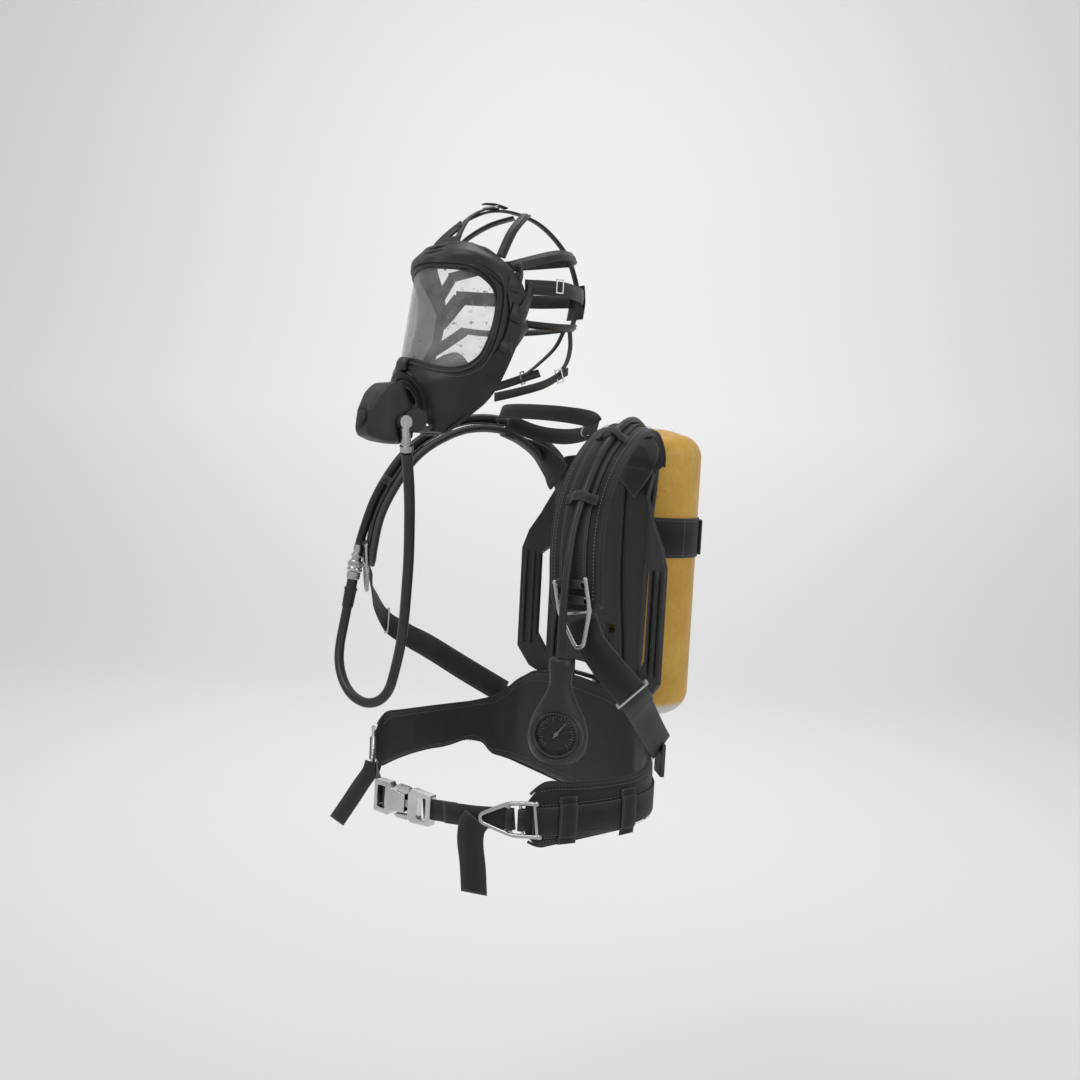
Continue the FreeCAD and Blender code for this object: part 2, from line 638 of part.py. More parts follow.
def shoulder_harness():
    lift = value("shoulder_thick / 2 + strap_thick / 2 + 0.4")
    straps = []
    for side, sign in (("left", 1), ("right", -1)):
        points, across = shoulder_lines(sign)
        pad_solid = ribbon(points, across, value("shoulder_wide"), value("shoulder_thick"))
        keep(shape_piece("pad_" + side, pad_solid), "shoulder_pad_" + side)
        strap = ribbon(points[1:8], across[1:8], value("strap_wide - 6"), value("strap_thick"), lift)
        straps.append(shape_piece("strap_" + side, strap))
    keep(group("strap_pair", *straps), "shoulder_webbing")


# Pull-down webbing from the shoulder triangle round the wearer's side to the back of the waist pad.
LOWER_LINE = [(238, -213, -38), (247, -206, -64), (259, -191, -89), (272, -162, -123), (257, -134, -143),
              (236, -107, -160), (206, -61, -192), (172, -10, -226)]
LOWER_ACROSS = [(0.93, 0.37, 0), (0.9, 0.4, 0.1), (0.7, 0.5, 0.45), (0.55, 0.45, 0.7), (0.5, 0.4, 0.8),
                (0.4, 0.3, 0.9), (0.3, 0.3, 0.9), (0.3, 0.3, 0.9)]


def lower_webbing():
    wide, thick = value("strap_wide"), value("strap_thick")
    runs, anchors, slides = [], [], []
    for side, sign in (("left", 1), ("right", -1)):
        line = [(sign * x, y, z) for x, y, z in LOWER_LINE]
        across = [(sign * x, y, z) for x, y, z in LOWER_ACROSS]
        runs.append(shape_piece("lower_" + side, ribbon(line, across, wide, thick)))
        anchors.append(block("anchor_" + side, "34", "5", "42", sign * 170 - 17, "-2", "-262",
                             turned((0, 0, 1), -30 * sign)))
        ends = (Vector(sign * 276, -155, -108), Vector(sign * 267, -170, -135))
        way = ends[0] - ends[1]
        slides.append(strap_slide("slide_" + side, (ends[0] + ends[1]) / 2, way, sign))
    keep(group("lower_pair", *runs), "lower_webbing")
    keep(group("anchor_pair", *anchors), "webbing_anchors")
    keep(group("slide_pair", *slides), "strap_slides")


def strap_slide(name, centre, way, sign):
    """Rectangular wire loop round the webbing."""
    made = pad(name, "XY_Plane", [rectangle("-3.4", "3.4", "-strap_wide / 2 - 4", "strap_wide / 2 + 4"),
                                  rectangle("-1.4", "1.4", "-strap_wide / 2 - 1.5",
                                            "strap_wide / 2 + 1.5")], "3", middle=True)
    out = Vector(sign * 0.8, -0.3, -0.5)
    made.Placement = Placement(centre, facing(out, way))
    return made


def carry_loop():
    """Webbing loop behind the neck, from one shoulder pad to the other and back."""
    wide, thick = 22, value("strap_thick")
    line = [(-118, -80, 188), (-100, -86, 198), (0, -88, 196), (78, -86, 189), (92, -82, 181)]
    back = [(90, -77, 179), (56, -64, 171), (0, -54, 166), (-60, -58, 170), (-112, -70, 185)]
    upper = ribbon(line, [(0, 0.35, 0.94)] * 5, wide, thick)
    lower = ribbon(back, [(0, 0.3, 0.95)] * 5, wide, thick)
    pieces = [shape_piece("loop_upper", upper), shape_piece("loop_lower", lower)]
    keep(group("loop_pair", *pieces), "carry_loop")


def hose_keepers():
    """Webbing keepers stitched over the hoses on the shoulder pads."""
    keepers = []
    for side, sign in (("left", 1), ("right", -1)):
        points, across = shoulder_lines(sign)
        for index in (3, 5):
            centre = Vector(*on_shoulder(sign, index, 0, 20))
            way = Vector(*points[index + 1]) - Vector(*points[index - 1])
            turn = facing(across[index], way)
            made = pad(f"keeper_{side}_{index}", "XY_Plane",
                       [rectangle("-20", "20", "-6", "6")], "1.6", middle=True)
            made.Placement = Placement(centre, turn)
            keepers.append(made)
    keep(group("keeper_set", *keepers), "hose_keepers")


# ---------------------------------------------------------------- hoses

def harness_hoses():
    out = value("shoulder_thick / 2 + strap_thick + pressure_hose_radius + 2.4")
    over = [on_shoulder(-1, index, 0, out) for index in range(2, 9)]
    pressure = [(-34.5, 26, -262), (-62, 27, -258), (-80, 27, -226), (-84, 28, -170), (-85, 29, -110),
                (-84, 30.5, -50), (-86, 31, 10), (-88, 32, 66), (-95, 31, 112), (-107, 15, 150)]
    hose("pressure_hose", pressure + list(reversed(over[:-1])) + [COUPLING_TOP], "pressure_hose_radius")
    out = value("shoulder_thick / 2 + strap_thick + gauge_hose_radius + 2.4")
    over = [on_shoulder(1, index, 6, out) for index in range(3, 9)]
    gauge = [(34.5, 26, -262), (60, 27, -258), (76, 27, -226), (80, 28, -170), (82, 29, -110),
             (81, 30.5, -50), (83, 31, 10), (84, 32, 66), (92, 29, 112), (106, 16, 150)]
    hose("gauge_hose_held", gauge + list(reversed(over[:-1])), "gauge_hose_radius")
    start = on_shoulder(1, 3, 6, out)
    hose("gauge_hose_free", [start, (222, -217.5, 66), (231.5, -231.5, 24), (237.5, -240, -20), GAUGE_NECK],
         "gauge_hose_radius")


COUPLING_TOP = (-240, -232, -3)
COUPLING_DOWN = Vector(0, -17, -99).normalize()
GAUGE_NECK = (236, -239, -78)

# Route of the free hose from the quick coupling, down, round and up to the demand valve.
DEMAND_ROUTE = [
    (-240, -241.95, -60.95), (-240, -249, -102), (-237, -255, -125), (-231, -262, -147),
    (-220, -268, -169), (-203, -270, -190), (-182, -267.5, -207), (-153, -261, -214),
    (-126, -254.5, -206), (-107, -250.5, -188), (-95, -250, -158), (-78, -253, -122),
    (-60, -260, -82), (-44, -268, -42), (-30, -275, -4), (-18, -283, 36), (-4, -293, 76),
    (10, -305, 110), (20, -314, 133)]


def coupling():
    down = Rotation(Vector(0, 0, 1), COUPLING_DOWN)
    top = Vector(*COUPLING_TOP)

    def stage(label, outline, along):
        made = revolve(label + "_turned", outline)
        made.Placement = Placement(top + COUPLING_DOWN * along, down)
        return keep(made, label)

    stage("coupling_socket", [("0", "0"), ("7.2", "0"), ("7.2", "8"), ("6.2", "9.5"), ("6.2", "11"),
                              ("8.6", "14"), ("8.6", "16"), ("7.2", "18"), ("7.2", "38"), ("5.2", "38"),
                              ("5.2", "22"), ("0", "22")], 0)
    stage("coupling_sleeve", [("7.6", "0"), ("9.4", "0"), ("10.5", "2"), ("10.5", "8"), ("9.6", "9.5"),
                              ("10.5", "11"), ("11", "14"), ("9.8", "16"), ("7.6", "16")], 22.4)
    stage("coupling_plug", [("0", "0"), ("4.9", "0"), ("4.9", "14.8"), ("9.6", "15.4"), ("9.6", "24.5"),
                            ("8.5", "26"), ("6", "26"), ("6", "34"), ("0", "34")], 24)
    stage("coupling_boot", [("6.2", "0"), ("7.6", "0"), ("7.6", "11"), ("9.4", "12"), ("9.4", "15"),
                            ("8.6", "16"), ("8", "40"), ("6.95", "40"), ("6.95", "8"), ("6.2", "8")], 50.5)


# ---------------------------------------------------------------- demand valve and mask

# The mask's own frame: origin on the visor's axis, tilted with its lower part forward.
MASK_PLACE = Placement(Vector(0, value("mask_y"), value("mask_z")), turned((1, 0, 0), -value("mask_tilt")))

VISOR_RIM = [("0", "-71"), ("14", "-72"), ("46", "-79"), ("62", "-79"), ("73", "-75"), ("80", "-66"),
             ("84", "-54"), ("87", "-22"), ("87", "12"), ("84", "28"), ("76", "38"), ("64", "45"),
             ("0", "47")]


def in_mask(thing):
    thing.Placement = MASK_PLACE
    return thing


def grown(corners, more):
    """The visor's rim moved out by a margin, half as much sideways where the wall turns away."""
    out = []
    for x, z in corners:
        lift = more if float(z) > 0 else -more
        out.append((str(float(x) * (1 + 0.5 * more / 90)), str(float(z) + lift)))
    return out


def rim_block(name, margin, inner=None):
    outlines = [mirrored(grown(VISOR_RIM, margin))]
    if inner is not None:
        outlines.append(mirrored(grown(VISOR_RIM, inner)))
    return pad(name, "XZ_Plane", outlines, "130", "12")


def shell_ring(name, inner, outer):
    return revolve(name, [(inner, "-100"), (outer, "-100"), (outer, "80"), (inner, "80")])


def visor():
    sheet_ring = shell_ring("visor_ring", "visor_radius - visor_thick", "visor_radius")
    in_mask(keep(common("visor_blank", sheet_ring, rim_block("visor_outline", 0)), "visor"))
    frame_ring = shell_ring("frame_ring", "visor_radius + 0.3", "visor_radius + 0.3 + frame_thick")
    frame = common("frame_blank", frame_ring, rim_block("frame_outline", 6, -3))
    in_mask(keep(frame, "visor_frame"))


# Local Z of the demand valve points out of the mask, forward and down.
PORT_AXIS = Vector(0, -0.86, -0.51).normalize()
PORT_BASE = Vector(0, -291, 207)
BUTTON_AXIS = Vector(0, -0.979, 0.202).normalize()
BUTTON_BASE = Vector(0, -364.5, 171.5)


def on_port(along):
    return Placement(PORT_BASE + PORT_AXIS * along, Rotation(Vector(0, 0, 1), PORT_AXIS))


def port_room(name, radius):
    """Room for the port through the mask's front, and for the valve's flange and body outside it."""
    room = revolve(name, [("0", "-34"), (radius, "-34"), (radius, "10.5"), ("26", "10.5"), ("26", "14.4"),
                          ("48", "14.4"), ("48", "60"), ("0", "60")])
    room.Placement = on_port(0)
    return room


def face_section(z, half, front, rear, shrink=0.0, open_back=0.0):
    """Plan section of the facepiece: a straight back, straight sides and a round front."""
    half, front = half - shrink, front + shrink
    cheek = rear + (front - rear) * 0.35
    rear += open_back
    corners = [Vector(half, rear, z), Vector(half, cheek, z), Vector(half * 0.72, front * 0.8 + cheek * 0.2, z),
               Vector(0, front, z)]
    left = [Vector(-c.x, c.y, z) for c in reversed(corners[:-1])]
    curve = Part.BSplineCurve()
    curve.interpolate(corners[1:] + left[:-1])
    edges = [Part.LineSegment(corners[0], corners[1]).toShape(), curve.toShape(),
             Part.LineSegment(left[-2], left[-1]).toShape(), Part.LineSegment(left[-1], corners[0]).toShape()]
    return Part.Wire(edges)


# Levels of the rubber facepiece: height, half width, front and rear.
FACE_LEVELS = [(-150, 34, -64, -46), (-124, 52, -76, -30), (-98, 72, -94, -15), (-60, 88, -95, -10),
               (0, 91, -93.5, 3), (40, 88, -93.5, -7), (64, 72, -85, -36), (78, 50, -77, -54)]


def facepiece():
    thick = value("rubber_thick")
    outer = Part.makeLoft([face_section(*level) for level in FACE_LEVELS], True, False)
    inner_levels = [(level[0] + (thick + 3 if index == 0 else 0) + (3 if index == 7 else 0), *level[1:])
                    for index, level in enumerate(FACE_LEVELS)]
    inner = Part.makeLoft([face_section(*level, thick, 30) for level in inner_levels], True, False)
    blank = shape_piece("face_blank", outer.cut(inner))
    opened = cut("face_opened", blank, rim_block("face_window", -3.4))
    keep(cut("face_ported", in_mask(opened), port_room("face_port_room", "22.4")), "facepiece")


def nose_cup():
    """Inner half mask over nose and mouth, and the port that the demand valve plugs into."""
    cup = revolve("cup_turned", [("20", "0"), ("24", "0"), ("40", "34"), ("43", "44"), ("40", "44"),
                                 ("37", "35"), ("21", "3")])
    cup.Placement = MASK_PLACE * Placement(Vector(0, -66, -96), turned((1, 0, 0), -78))
    keep(cut("cup_ported", cup, port_room("cup_port_room", "23.4")), "nose_cup")


def demand_valve():
    port = revolve("port_turned", [("17.5", "-8"), ("23", "-8"), ("23", "-1"), ("26", "0"), ("26", "10"),
                                   ("17.5", "10")])
    port.Placement = on_port(0)
    keep(port, "mask_port")
    spigot = revolve("spigot_turned", [("11", "-6"), ("17", "-6"), ("17", "10.6"), ("25", "11"),
                                       ("25", "15"), ("11", "15")])
    spigot.Placement = on_port(0)
    top = Vector(29, -324, 167)
    elbow_place = Placement(top, Rotation(Vector(0, 0, 1), Vector(*DEMAND_ROUTE[-1]) - top))
    side = [("-306", "181"), ("-322", "214"), ("-338", "216"), ("-353", "203"), ("-364", "182"),
            ("-368", "160"), ("-363", "150"), ("-345", "145"), ("-318", "142"), ("-306", "150")]
    profile = pad("cowl_profile", "YZ_Plane", [side], "120", middle=True)
    plan = pad("cowl_plan", "XY_Plane", [mirrored([("0", "-372"), ("16", "-366"), ("25", "-345"),
                                                   ("25", "-312"), ("20", "-300"), ("0", "-300")])],
               "100", "130")
    clearance = revolve("port_room", [("0", "-60"), ("60", "-60"), ("60", "15.3"), ("0", "15.3")])
    clearance.Placement = on_port(0)
    inward = Rotation(Vector(0, 0, 1), BUTTON_AXIS)
    pocket = revolve("button_pocket", [("0", "0"), ("12.4", "0"), ("12.4", "30"), ("0", "30")])
    pocket.Placement = Placement(BUTTON_BASE - BUTTON_AXIS * 3.6, inward)
    elbow_room = revolve("elbow_room", [("0", "-6"), ("9", "-6"), ("9", "40"), ("0", "40")])
    elbow_room.Placement = elbow_place
    hull = common("cowl_hull", profile, plan)
    cowl = cut("cowl_blank", hull, group("cowl_rooms", clearance, pocket, elbow_room))
    keep(fuse("valve_and_spigot", cowl, spigot), "demand_valve")
    button = revolve("button_turned", [("0", "0"), ("12", "0"), ("12", "4"), ("10", "6"), ("0", "6")])
    button.Placement = Placement(BUTTON_BASE, inward)
    keep(button, "demand_button")
    ball = revolve("elbow_ball", [("0", "0"), ("8", "0"), ("8", "9"), ("0", "9")])
    ball.Placement = Placement(Vector(25.6, -325, 169), ALONG_X)
    neck = revolve("elbow_neck", [("0", "0"), ("6", "0"), ("6", "26"), ("8", "27"), ("8", "34"), ("0", "34")])
    neck.Placement = elbow_place
    keep(fuse("elbow_blank", ball, neck), "demand_elbow")
    ring = revolve("ribbed_turned", [("0", "0"), ("13", "0"), ("13", "6"), ("0", "6")])
    ring.Placement = Placement(Vector(25.3, -309, 172), ALONG_X)
    keep(ring, "side_cap")


def head_point(degrees_up, degrees_round):
    """A point of the head's ellipsoid: height angle from the horizontal, turn from straight back."""
    up, turn = math.radians(degrees_up), math.radians(degrees_round)
    return (value("head_half_wide") * math.cos(up) * math.sin(turn),
            value("head_y") + value("head_half_deep") * math.cos(up) * math.cos(turn),
            value("head_z") + value("head_up") * math.sin(up))


def head_band(stations, width):
    """A rubber band over the head's form, its width lying along the head."""
    thick = value("band_strap_thick")
    points = [head_point(*station) for station in stations]
    centre = Vector(0, value("head_y"), value("head_z"))
    across = []
    for index, point in enumerate(points):
        before = Vector(*points[max(index - 1, 0)])
        after = Vector(*points[min(index + 1, len(points) - 1)])
        outward = (Vector(*point) - centre).normalize()
        side = (after - before).cross(outward)
        across.append((side.x, side.y, side.z))
    return ribbon(points, across, width, thick)


def head_harness():
    wide = value("band_strap_wide")
    bands = [([(50, 180), (70, 180), (90, 0), (66, 0), (40, 0), (18, 0), (0, 0), (-20, 0)], wide - 5),
             ([(13, 0), (0, 0), (-13, 0)], 34)]
    for side in (1, -1):
        bands += [([(up, side * turn) for up, turn in stations], width) for stations, width in (
            ([(32, 2), (30, 40), (24, 80), (10, 116)], wide),
            ([(78, 60), (60, 102), (38, 117), (16, 124)], wide - 2),
            ([(2, 8), (1, 40), (0, 76), (-3, 106)], wide + 4),
            ([(-20, 2), (-24, 40), (-28, 78), (-29, 106)], wide - 4))]
    pieces = [shape_piece(f"band_{n}", head_band(*band)) for n, band in enumerate(bands)]
    keep(group("harness_bands", *pieces), "head_harness")


def harness_buckles():
    """Wire buckles where the rubber bands are tightened: crown, temples and neck."""
    pieces = []
    for name, point, across, along in (
            ("crown", (0, -196, 445), (1, 0, 0), (0, 1, 0.3)),
            ("temple_left", (80, -142, 347), (0.35, 0.9, 0), (0, 0, 1)),
            ("temple_right", (-80, -142, 347), (-0.35, 0.9, 0), (0, 0, 1)),
            ("neck_left", (39.5, -103, 242), (0.3, 0.9, 0.3), (0, 0, 1)),
            ("neck_right", (-39.5, -103, 242), (-0.3, 0.9, 0.3), (0, 0, 1))):
        made = pad("wire_" + name, "XY_Plane", [rectangle("-5", "5", "-9", "9"),
                                                rectangle("-3.4", "3.4", "-7.4", "7.4")], "1.6", middle=True)
        made.Placement = Placement(Vector(*point), facing(across, along))
        pieces.append(made)
    keep(group("wire_buckles", *pieces), "harness_buckles")


def neck_strap():
    lines = []
    for side, sign in (("left", 1), ("right", -1)):
        line = [(sign * 70, -225, 205), (sign * 62, -180, 216), (sign * 50, -136, 228), (sign * 38, -104, 241),
                (sign * 30, -82, 250)]
        lines.append(shape_piece("neck_" + side, ribbon(line, [(0.2 * sign, 0, 1)] * 5, 11, 2.2)))
        rise = [(sign * 38, -103, 244), (sign * 30, -84, 262), (sign * 16, -68, 285), (sign * 5, -62, 310)]
        lines.append(shape_piece("rise_" + side, ribbon(rise, [(1, 0, 0)] * 4, 7, 2)))
    keep(group("neck_lines", *lines), "neck_strap")


# ---------------------------------------------------------------- pressure gauge

def gauge():
    turn = turned((0, 0, 1), value("gauge_turn"))
    centre = Vector(value("gauge_x"), value("gauge_y"), value("gauge_z"))
    front = Rotation(Vector(0, 0, 1), turn.multVec(Vector(0, -1, 0)))

    def level(z, wide, deep):
        ring = Part.Ellipse(Vector(0, 0, z), wide, deep) if wide >= deep else None
        return Part.Wire(ring.toShape())

    wide, deep = value("boot_half_wide"), value("boot_half_deep")
    profile = [(83, 11.5, 11), (62, 12.5, 12), (46, 15, 13), (26, 25, 16), (8, wide - 1.5, deep - 1),
               (-8, wide, deep), (-22, wide - 4, deep - 1), (-33, 12, 8)]
    blank = Part.makeLoft([level(*row) for row in profile], True, False)
    cavity = Part.makeCylinder(value("case_radius") + 0.3, 40, Vector(0, 3, 0), Vector(0, -1, 0))
    boot = shape_piece("boot_blank", blank.cut(cavity), Placement(centre, turn))
    keep(boot, "gauge_boot")

    def stage(label, outline, depth):
        """A piece turned about the dial's axis, its base at a depth in front of the centre."""
        made = revolve(label + "_turned", outline)
        made.Placement = Placement(centre + front.multVec(Vector(0, 0, depth)), front)
        return keep(made, label)

    stage("gauge_case", [("0", "0"), ("case_radius", "0"), ("case_radius", "case_deep"),
                         ("dial_radius + 0.4", "case_deep"), ("dial_radius + 0.4", "4"), ("0", "4")], -2.8)
    stage("gauge_dial", [("3.2", "0"), ("dial_radius", "0"), ("dial_radius", "1.2"), ("3.2", "1.2")], 6)
    stage("gauge_lens", [("0", "0"), ("dial_radius", "0"), ("dial_radius", "1.6"), ("0", "2.2")], 10.8)
    needle = pad("needle_plate", "XY_Plane", [[("-1.2", "-6"), ("1.2", "-6"), ("0.4", "18"), ("-0.4", "18")]],
                 "0.8")
    hub = rod("needle_hub", "2.4", "6")
    hub.setExpression("Placement.Base.z", "-3.4")
    needle_set = fuse("needle_blank", needle, hub)
    needle_set.Placement = Placement(centre + front.multVec(Vector(0, 0, 8)), front)
    keep(needle_set, "gauge_needle")


# ---------------------------------------------------------------- build, check and write

backplate()
air_cylinder()
cylinder_band()
band_lever()
saddles()
cylinder_valve()
reducer()
waist_pad()
waist_belt()
triangles()
belt_tails()
front_buckle()
front_webbing()
shoulder_harness()
lower_webbing()
carry_loop()
hose_keepers()
harness_hoses()
coupling()
hose("demand_hose", DEMAND_ROUTE, "demand_hose_radius")
visor()
facepiece()
nose_cup()
demand_valve()
head_harness()
harness_buckles()
neck_strap()
gauge()

doc.recompute()
failed = [f"{thing.Name}: {thing.State}" for thing in doc.Objects
          if "Invalid" in thing.State or "Error" in thing.State]
failed += [f"{thing.Label}: null or not valid" for thing in finished
           if thing.Shape.isNull() or not thing.Shape.isValid() or not thing.Shape.Solids]
if failed:
    raise SystemExit("failed:\n" + "\n".join(failed))

os.makedirs("parts", exist_ok=True)
for thing in finished:
    thing.Shape.exportStep(f"parts/{thing.Label}.step")
print(len(finished), "sub-parts written")
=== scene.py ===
import json
import math

import bmesh
import bpy
import numpy as np
from mathutils import Matrix, Vector


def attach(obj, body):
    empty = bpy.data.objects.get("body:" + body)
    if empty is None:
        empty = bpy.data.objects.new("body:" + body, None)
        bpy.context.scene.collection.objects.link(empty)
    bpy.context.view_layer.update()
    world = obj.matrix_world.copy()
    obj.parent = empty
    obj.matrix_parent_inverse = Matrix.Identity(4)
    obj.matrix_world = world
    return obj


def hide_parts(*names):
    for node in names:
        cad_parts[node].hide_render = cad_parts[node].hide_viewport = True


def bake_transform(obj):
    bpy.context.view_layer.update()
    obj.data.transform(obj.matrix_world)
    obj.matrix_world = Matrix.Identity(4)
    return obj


# Breathing apparatus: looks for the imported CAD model, in metres, in the CAD frame.
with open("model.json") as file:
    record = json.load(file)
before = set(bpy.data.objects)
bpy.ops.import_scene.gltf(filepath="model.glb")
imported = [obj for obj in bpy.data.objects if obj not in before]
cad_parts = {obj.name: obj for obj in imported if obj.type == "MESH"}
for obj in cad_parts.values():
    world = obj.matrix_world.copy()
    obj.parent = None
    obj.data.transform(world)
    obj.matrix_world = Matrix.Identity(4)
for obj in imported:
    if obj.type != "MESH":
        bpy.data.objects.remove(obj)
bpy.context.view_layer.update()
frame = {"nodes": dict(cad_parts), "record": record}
nodes = frame["nodes"]
scene = bpy.context.scene

MM = 0.001
WELD_GAP = 0.000002
SIDES = (("left", 1), ("right", -1))


def mm(*xyz):
    return Vector(xyz) * MM


def line(points):
    return [mm(*p) for p in points]


# ---------------------------------------------------------------- camera, light and stage

VIEW_TURN = math.radians(51.75)
VIEW_DOWN = math.radians(4.38)
VIEW_ROLL = math.radians(2.94)


def make_camera():
    right = Vector((math.cos(VIEW_TURN), math.sin(VIEW_TURN), 0))
    ahead = Vector((-math.sin(VIEW_TURN) * math.cos(VIEW_DOWN),
                    math.cos(VIEW_TURN) * math.cos(VIEW_DOWN), -math.sin(VIEW_DOWN)))
    up = right.cross(ahead)
    rolled_right = right * math.cos(VIEW_ROLL) + up * math.sin(VIEW_ROLL)
    rolled_up = up * math.cos(VIEW_ROLL) - right * math.sin(VIEW_ROLL)
    data = bpy.data.cameras.new("camera")
    data.lens = 35
    data.sensor_width = 36
    data.clip_end = 60
    camera = bpy.data.objects.new("camera", data)
    turn = Matrix((rolled_right, rolled_up, -ahead)).transposed().to_4x4()
    camera.matrix_world = Matrix.Translation(mm(1106.75, -962.22, 133.32)) @ turn
    scene.collection.objects.link(camera)
    scene.camera = camera


def area_light(name, place, target, size, power):
    data = bpy.data.lights.new(name, "AREA")
    data.shape = "DISK"
    data.size = size
    data.energy = power
    lamp = bpy.data.objects.new(name, data)
    lamp.location = place
    lamp.rotation_mode = "QUATERNION"
    lamp.rotation_quaternion = (Vector(place) - Vector(target)).to_track_quat("Z", "Y")
    scene.collection.objects.link(lamp)


def backdrop_paper(floor_z):
    """Matte paper with painted light: its colour is paler on its risen part than on the floor, standing in
    for the wall being lit more brightly.
    """
    material, tree, shader = principled("backdrop_paper", (0.85, 0.85, 0.85), 0.9)
    # Painted light: the paper's colour grows paler with height, in place of the brighter light on the risen
    # part.
    height = fade(tree, "Z", floor_z, 0.5)
    tree.links.new(ramp(tree, height, [(0.0, 0.76), (1.0, 0.93)]), shader.inputs["Base Color"])
    return material


def make_stage():
    """A pale floor that rises into a backdrop behind the object, seen from the camera."""
    ahead = Vector((-math.sin(VIEW_TURN), math.cos(VIEW_TURN), 0))
    side = Vector((math.cos(VIEW_TURN), math.sin(VIEW_TURN), 0))
    floor_z, reach, radius, half_wide = -1.1, 4.2, 3.2, 16
    profile = [(-9, floor_z)]
    profile += [(reach + radius * math.sin(a), floor_z + radius * (1 - math.cos(a)))
                for a in (math.radians(90 * n / 24) for n in range(25))]
    profile.append((reach + radius, 12))
    mesh = bpy.data.meshes.new("backdrop")
    verts = [ahead * d + side * s + Vector((0, 0, z)) for d, z in profile for s in (-half_wide, half_wide)]
    faces = [(2 * n, 2 * n + 1, 2 * n + 3, 2 * n + 2) for n in range(len(profile) - 1)]
    mesh.from_pydata(verts, [], faces)
    mesh.shade_smooth()
    backdrop = bpy.data.objects.new("backdrop", mesh)
    scene.collection.objects.link(backdrop)
    backdrop.data.materials.append(backdrop_paper(floor_z))


def make_light():
    world = bpy.data.worlds.new("studio")
    world.use_nodes = True
    world.node_tree.nodes["Background"].inputs["Color"].default_value = (1, 1, 1, 1)
    world.node_tree.nodes["Background"].inputs["Strength"].default_value = 0.5
    scene.world = world
    area_light("key", (0.2, -2.6, 3.2), (0, 0, 0), 2.4, 42)
    area_light("side", (3.4, 0.4, 1.4), (0, 0, 0), 2.2, 16)
    area_light("backdrop_wash", (-1.2, 0.8, 3.6), (-3.5, 3.2, 1.2), 3.0, 150)
    scene.view_settings.view_transform = "Standard"


# ---------------------------------------------------------------- materials

def principled(name, colour, rough, metal=0.0, specular=0.5):
    material = bpy.data.materials.new(name)
    material.use_nodes = True
    shader = material.node_tree.nodes["Principled BSDF"]
    shader.inputs["Base Color"].default_value = (*colour, 1)
    shader.inputs["Roughness"].default_value = rough
    shader.inputs["Metallic"].default_value = metal
    shader.inputs["Specular IOR Level"].default_value = specular
    return material, material.node_tree, shader


def node(tree, kind, **settings):
    made = tree.nodes.new(kind)
    for key, value in settings.items():
        if key in made.inputs:
            made.inputs[key].default_value = value
        else:
            setattr(made, key, value)
    return made


def noise(tree, scale, detail=4.0, rough=0.55, stretch=None, uv=False):
    """Noise in the object's own metres, or along the strap's UV, maybe stretched."""
    coords = node(tree, "ShaderNodeTexCoord")
    mapping = node(tree, "ShaderNodeMapping")
    mapping.inputs["Scale"].default_value = stretch or (1, 1, 1)
    tree.links.new(coords.outputs["UV" if uv else "Object"], mapping.inputs["Vector"])
    made = node(tree, "ShaderNodeTexNoise", Scale=scale, Detail=detail, Roughness=rough)
    tree.links.new(mapping.outputs["Vector"], made.inputs["Vector"])
    return made.outputs["Fac"]


def ramp(tree, source, stops):
    made = node(tree, "ShaderNodeValToRGB")
    elements = made.color_ramp.elements
    while len(elements) < len(stops):
        elements.new(0.5)
    for element, (at, value) in zip(elements, stops):
        element.position = at
        element.color = (*value, 1) if isinstance(value, tuple) else (value, value, value, 1)
    tree.links.new(source, made.inputs["Fac"])
    return made.outputs["Color"]


def mix(tree, factor, first, second, blend="MIX"):
    made = node(tree, "ShaderNodeMix", data_type="RGBA", blend_type=blend)
    if isinstance(factor, float):
        made.inputs[0].default_value = factor
    else:
        tree.links.new(factor, made.inputs[0])
    for socket, source in ((made.inputs[6], first), (made.inputs[7], second)):
        if isinstance(source, float):
            socket.default_value = (source, source, source, 1)
        elif isinstance(source, tuple):
            socket.default_value = (*source, 1)
        else:
            tree.links.new(source, socket)
    return made.outputs[2]


def fade(tree, axis, start, end, low=0.0, high=1.0):
    """A value from low to high as the place along one of the object's axes goes from start to end."""
    split = node(tree, "ShaderNodeSeparateXYZ")
    tree.links.new(node(tree, "ShaderNodeTexCoord").outputs["Object"], split.inputs["Vector"])
    made = node(tree, "ShaderNodeMapRange")
    for socket, number in (("From Min", start), ("From Max", end), ("To Min", low), ("To Max", high)):
        made.inputs[socket].default_value = number
    tree.links.new(split.outputs[axis], made.inputs["Value"])
    return made.outputs["Result"]


def bump(tree, shader, source, strength, distance):
    made = node(tree, "ShaderNodeBump", Strength=strength, Distance=distance)
    tree.links.new(source, made.inputs["Height"])
    previous = shader.inputs["Normal"].links
    if previous:
        tree.links.new(previous[0].from_socket, made.inputs["Normal"])
    tree.links.new(made.outputs["Normal"], shader.inputs["Normal"])


def edge_wear(tree, low=0.52, high=0.6):
    geometry = node(tree, "ShaderNodeNewGeometry")
    return ramp(tree, geometry.outputs["Pointiness"], [(low, 0.0), (high, 1.0)])


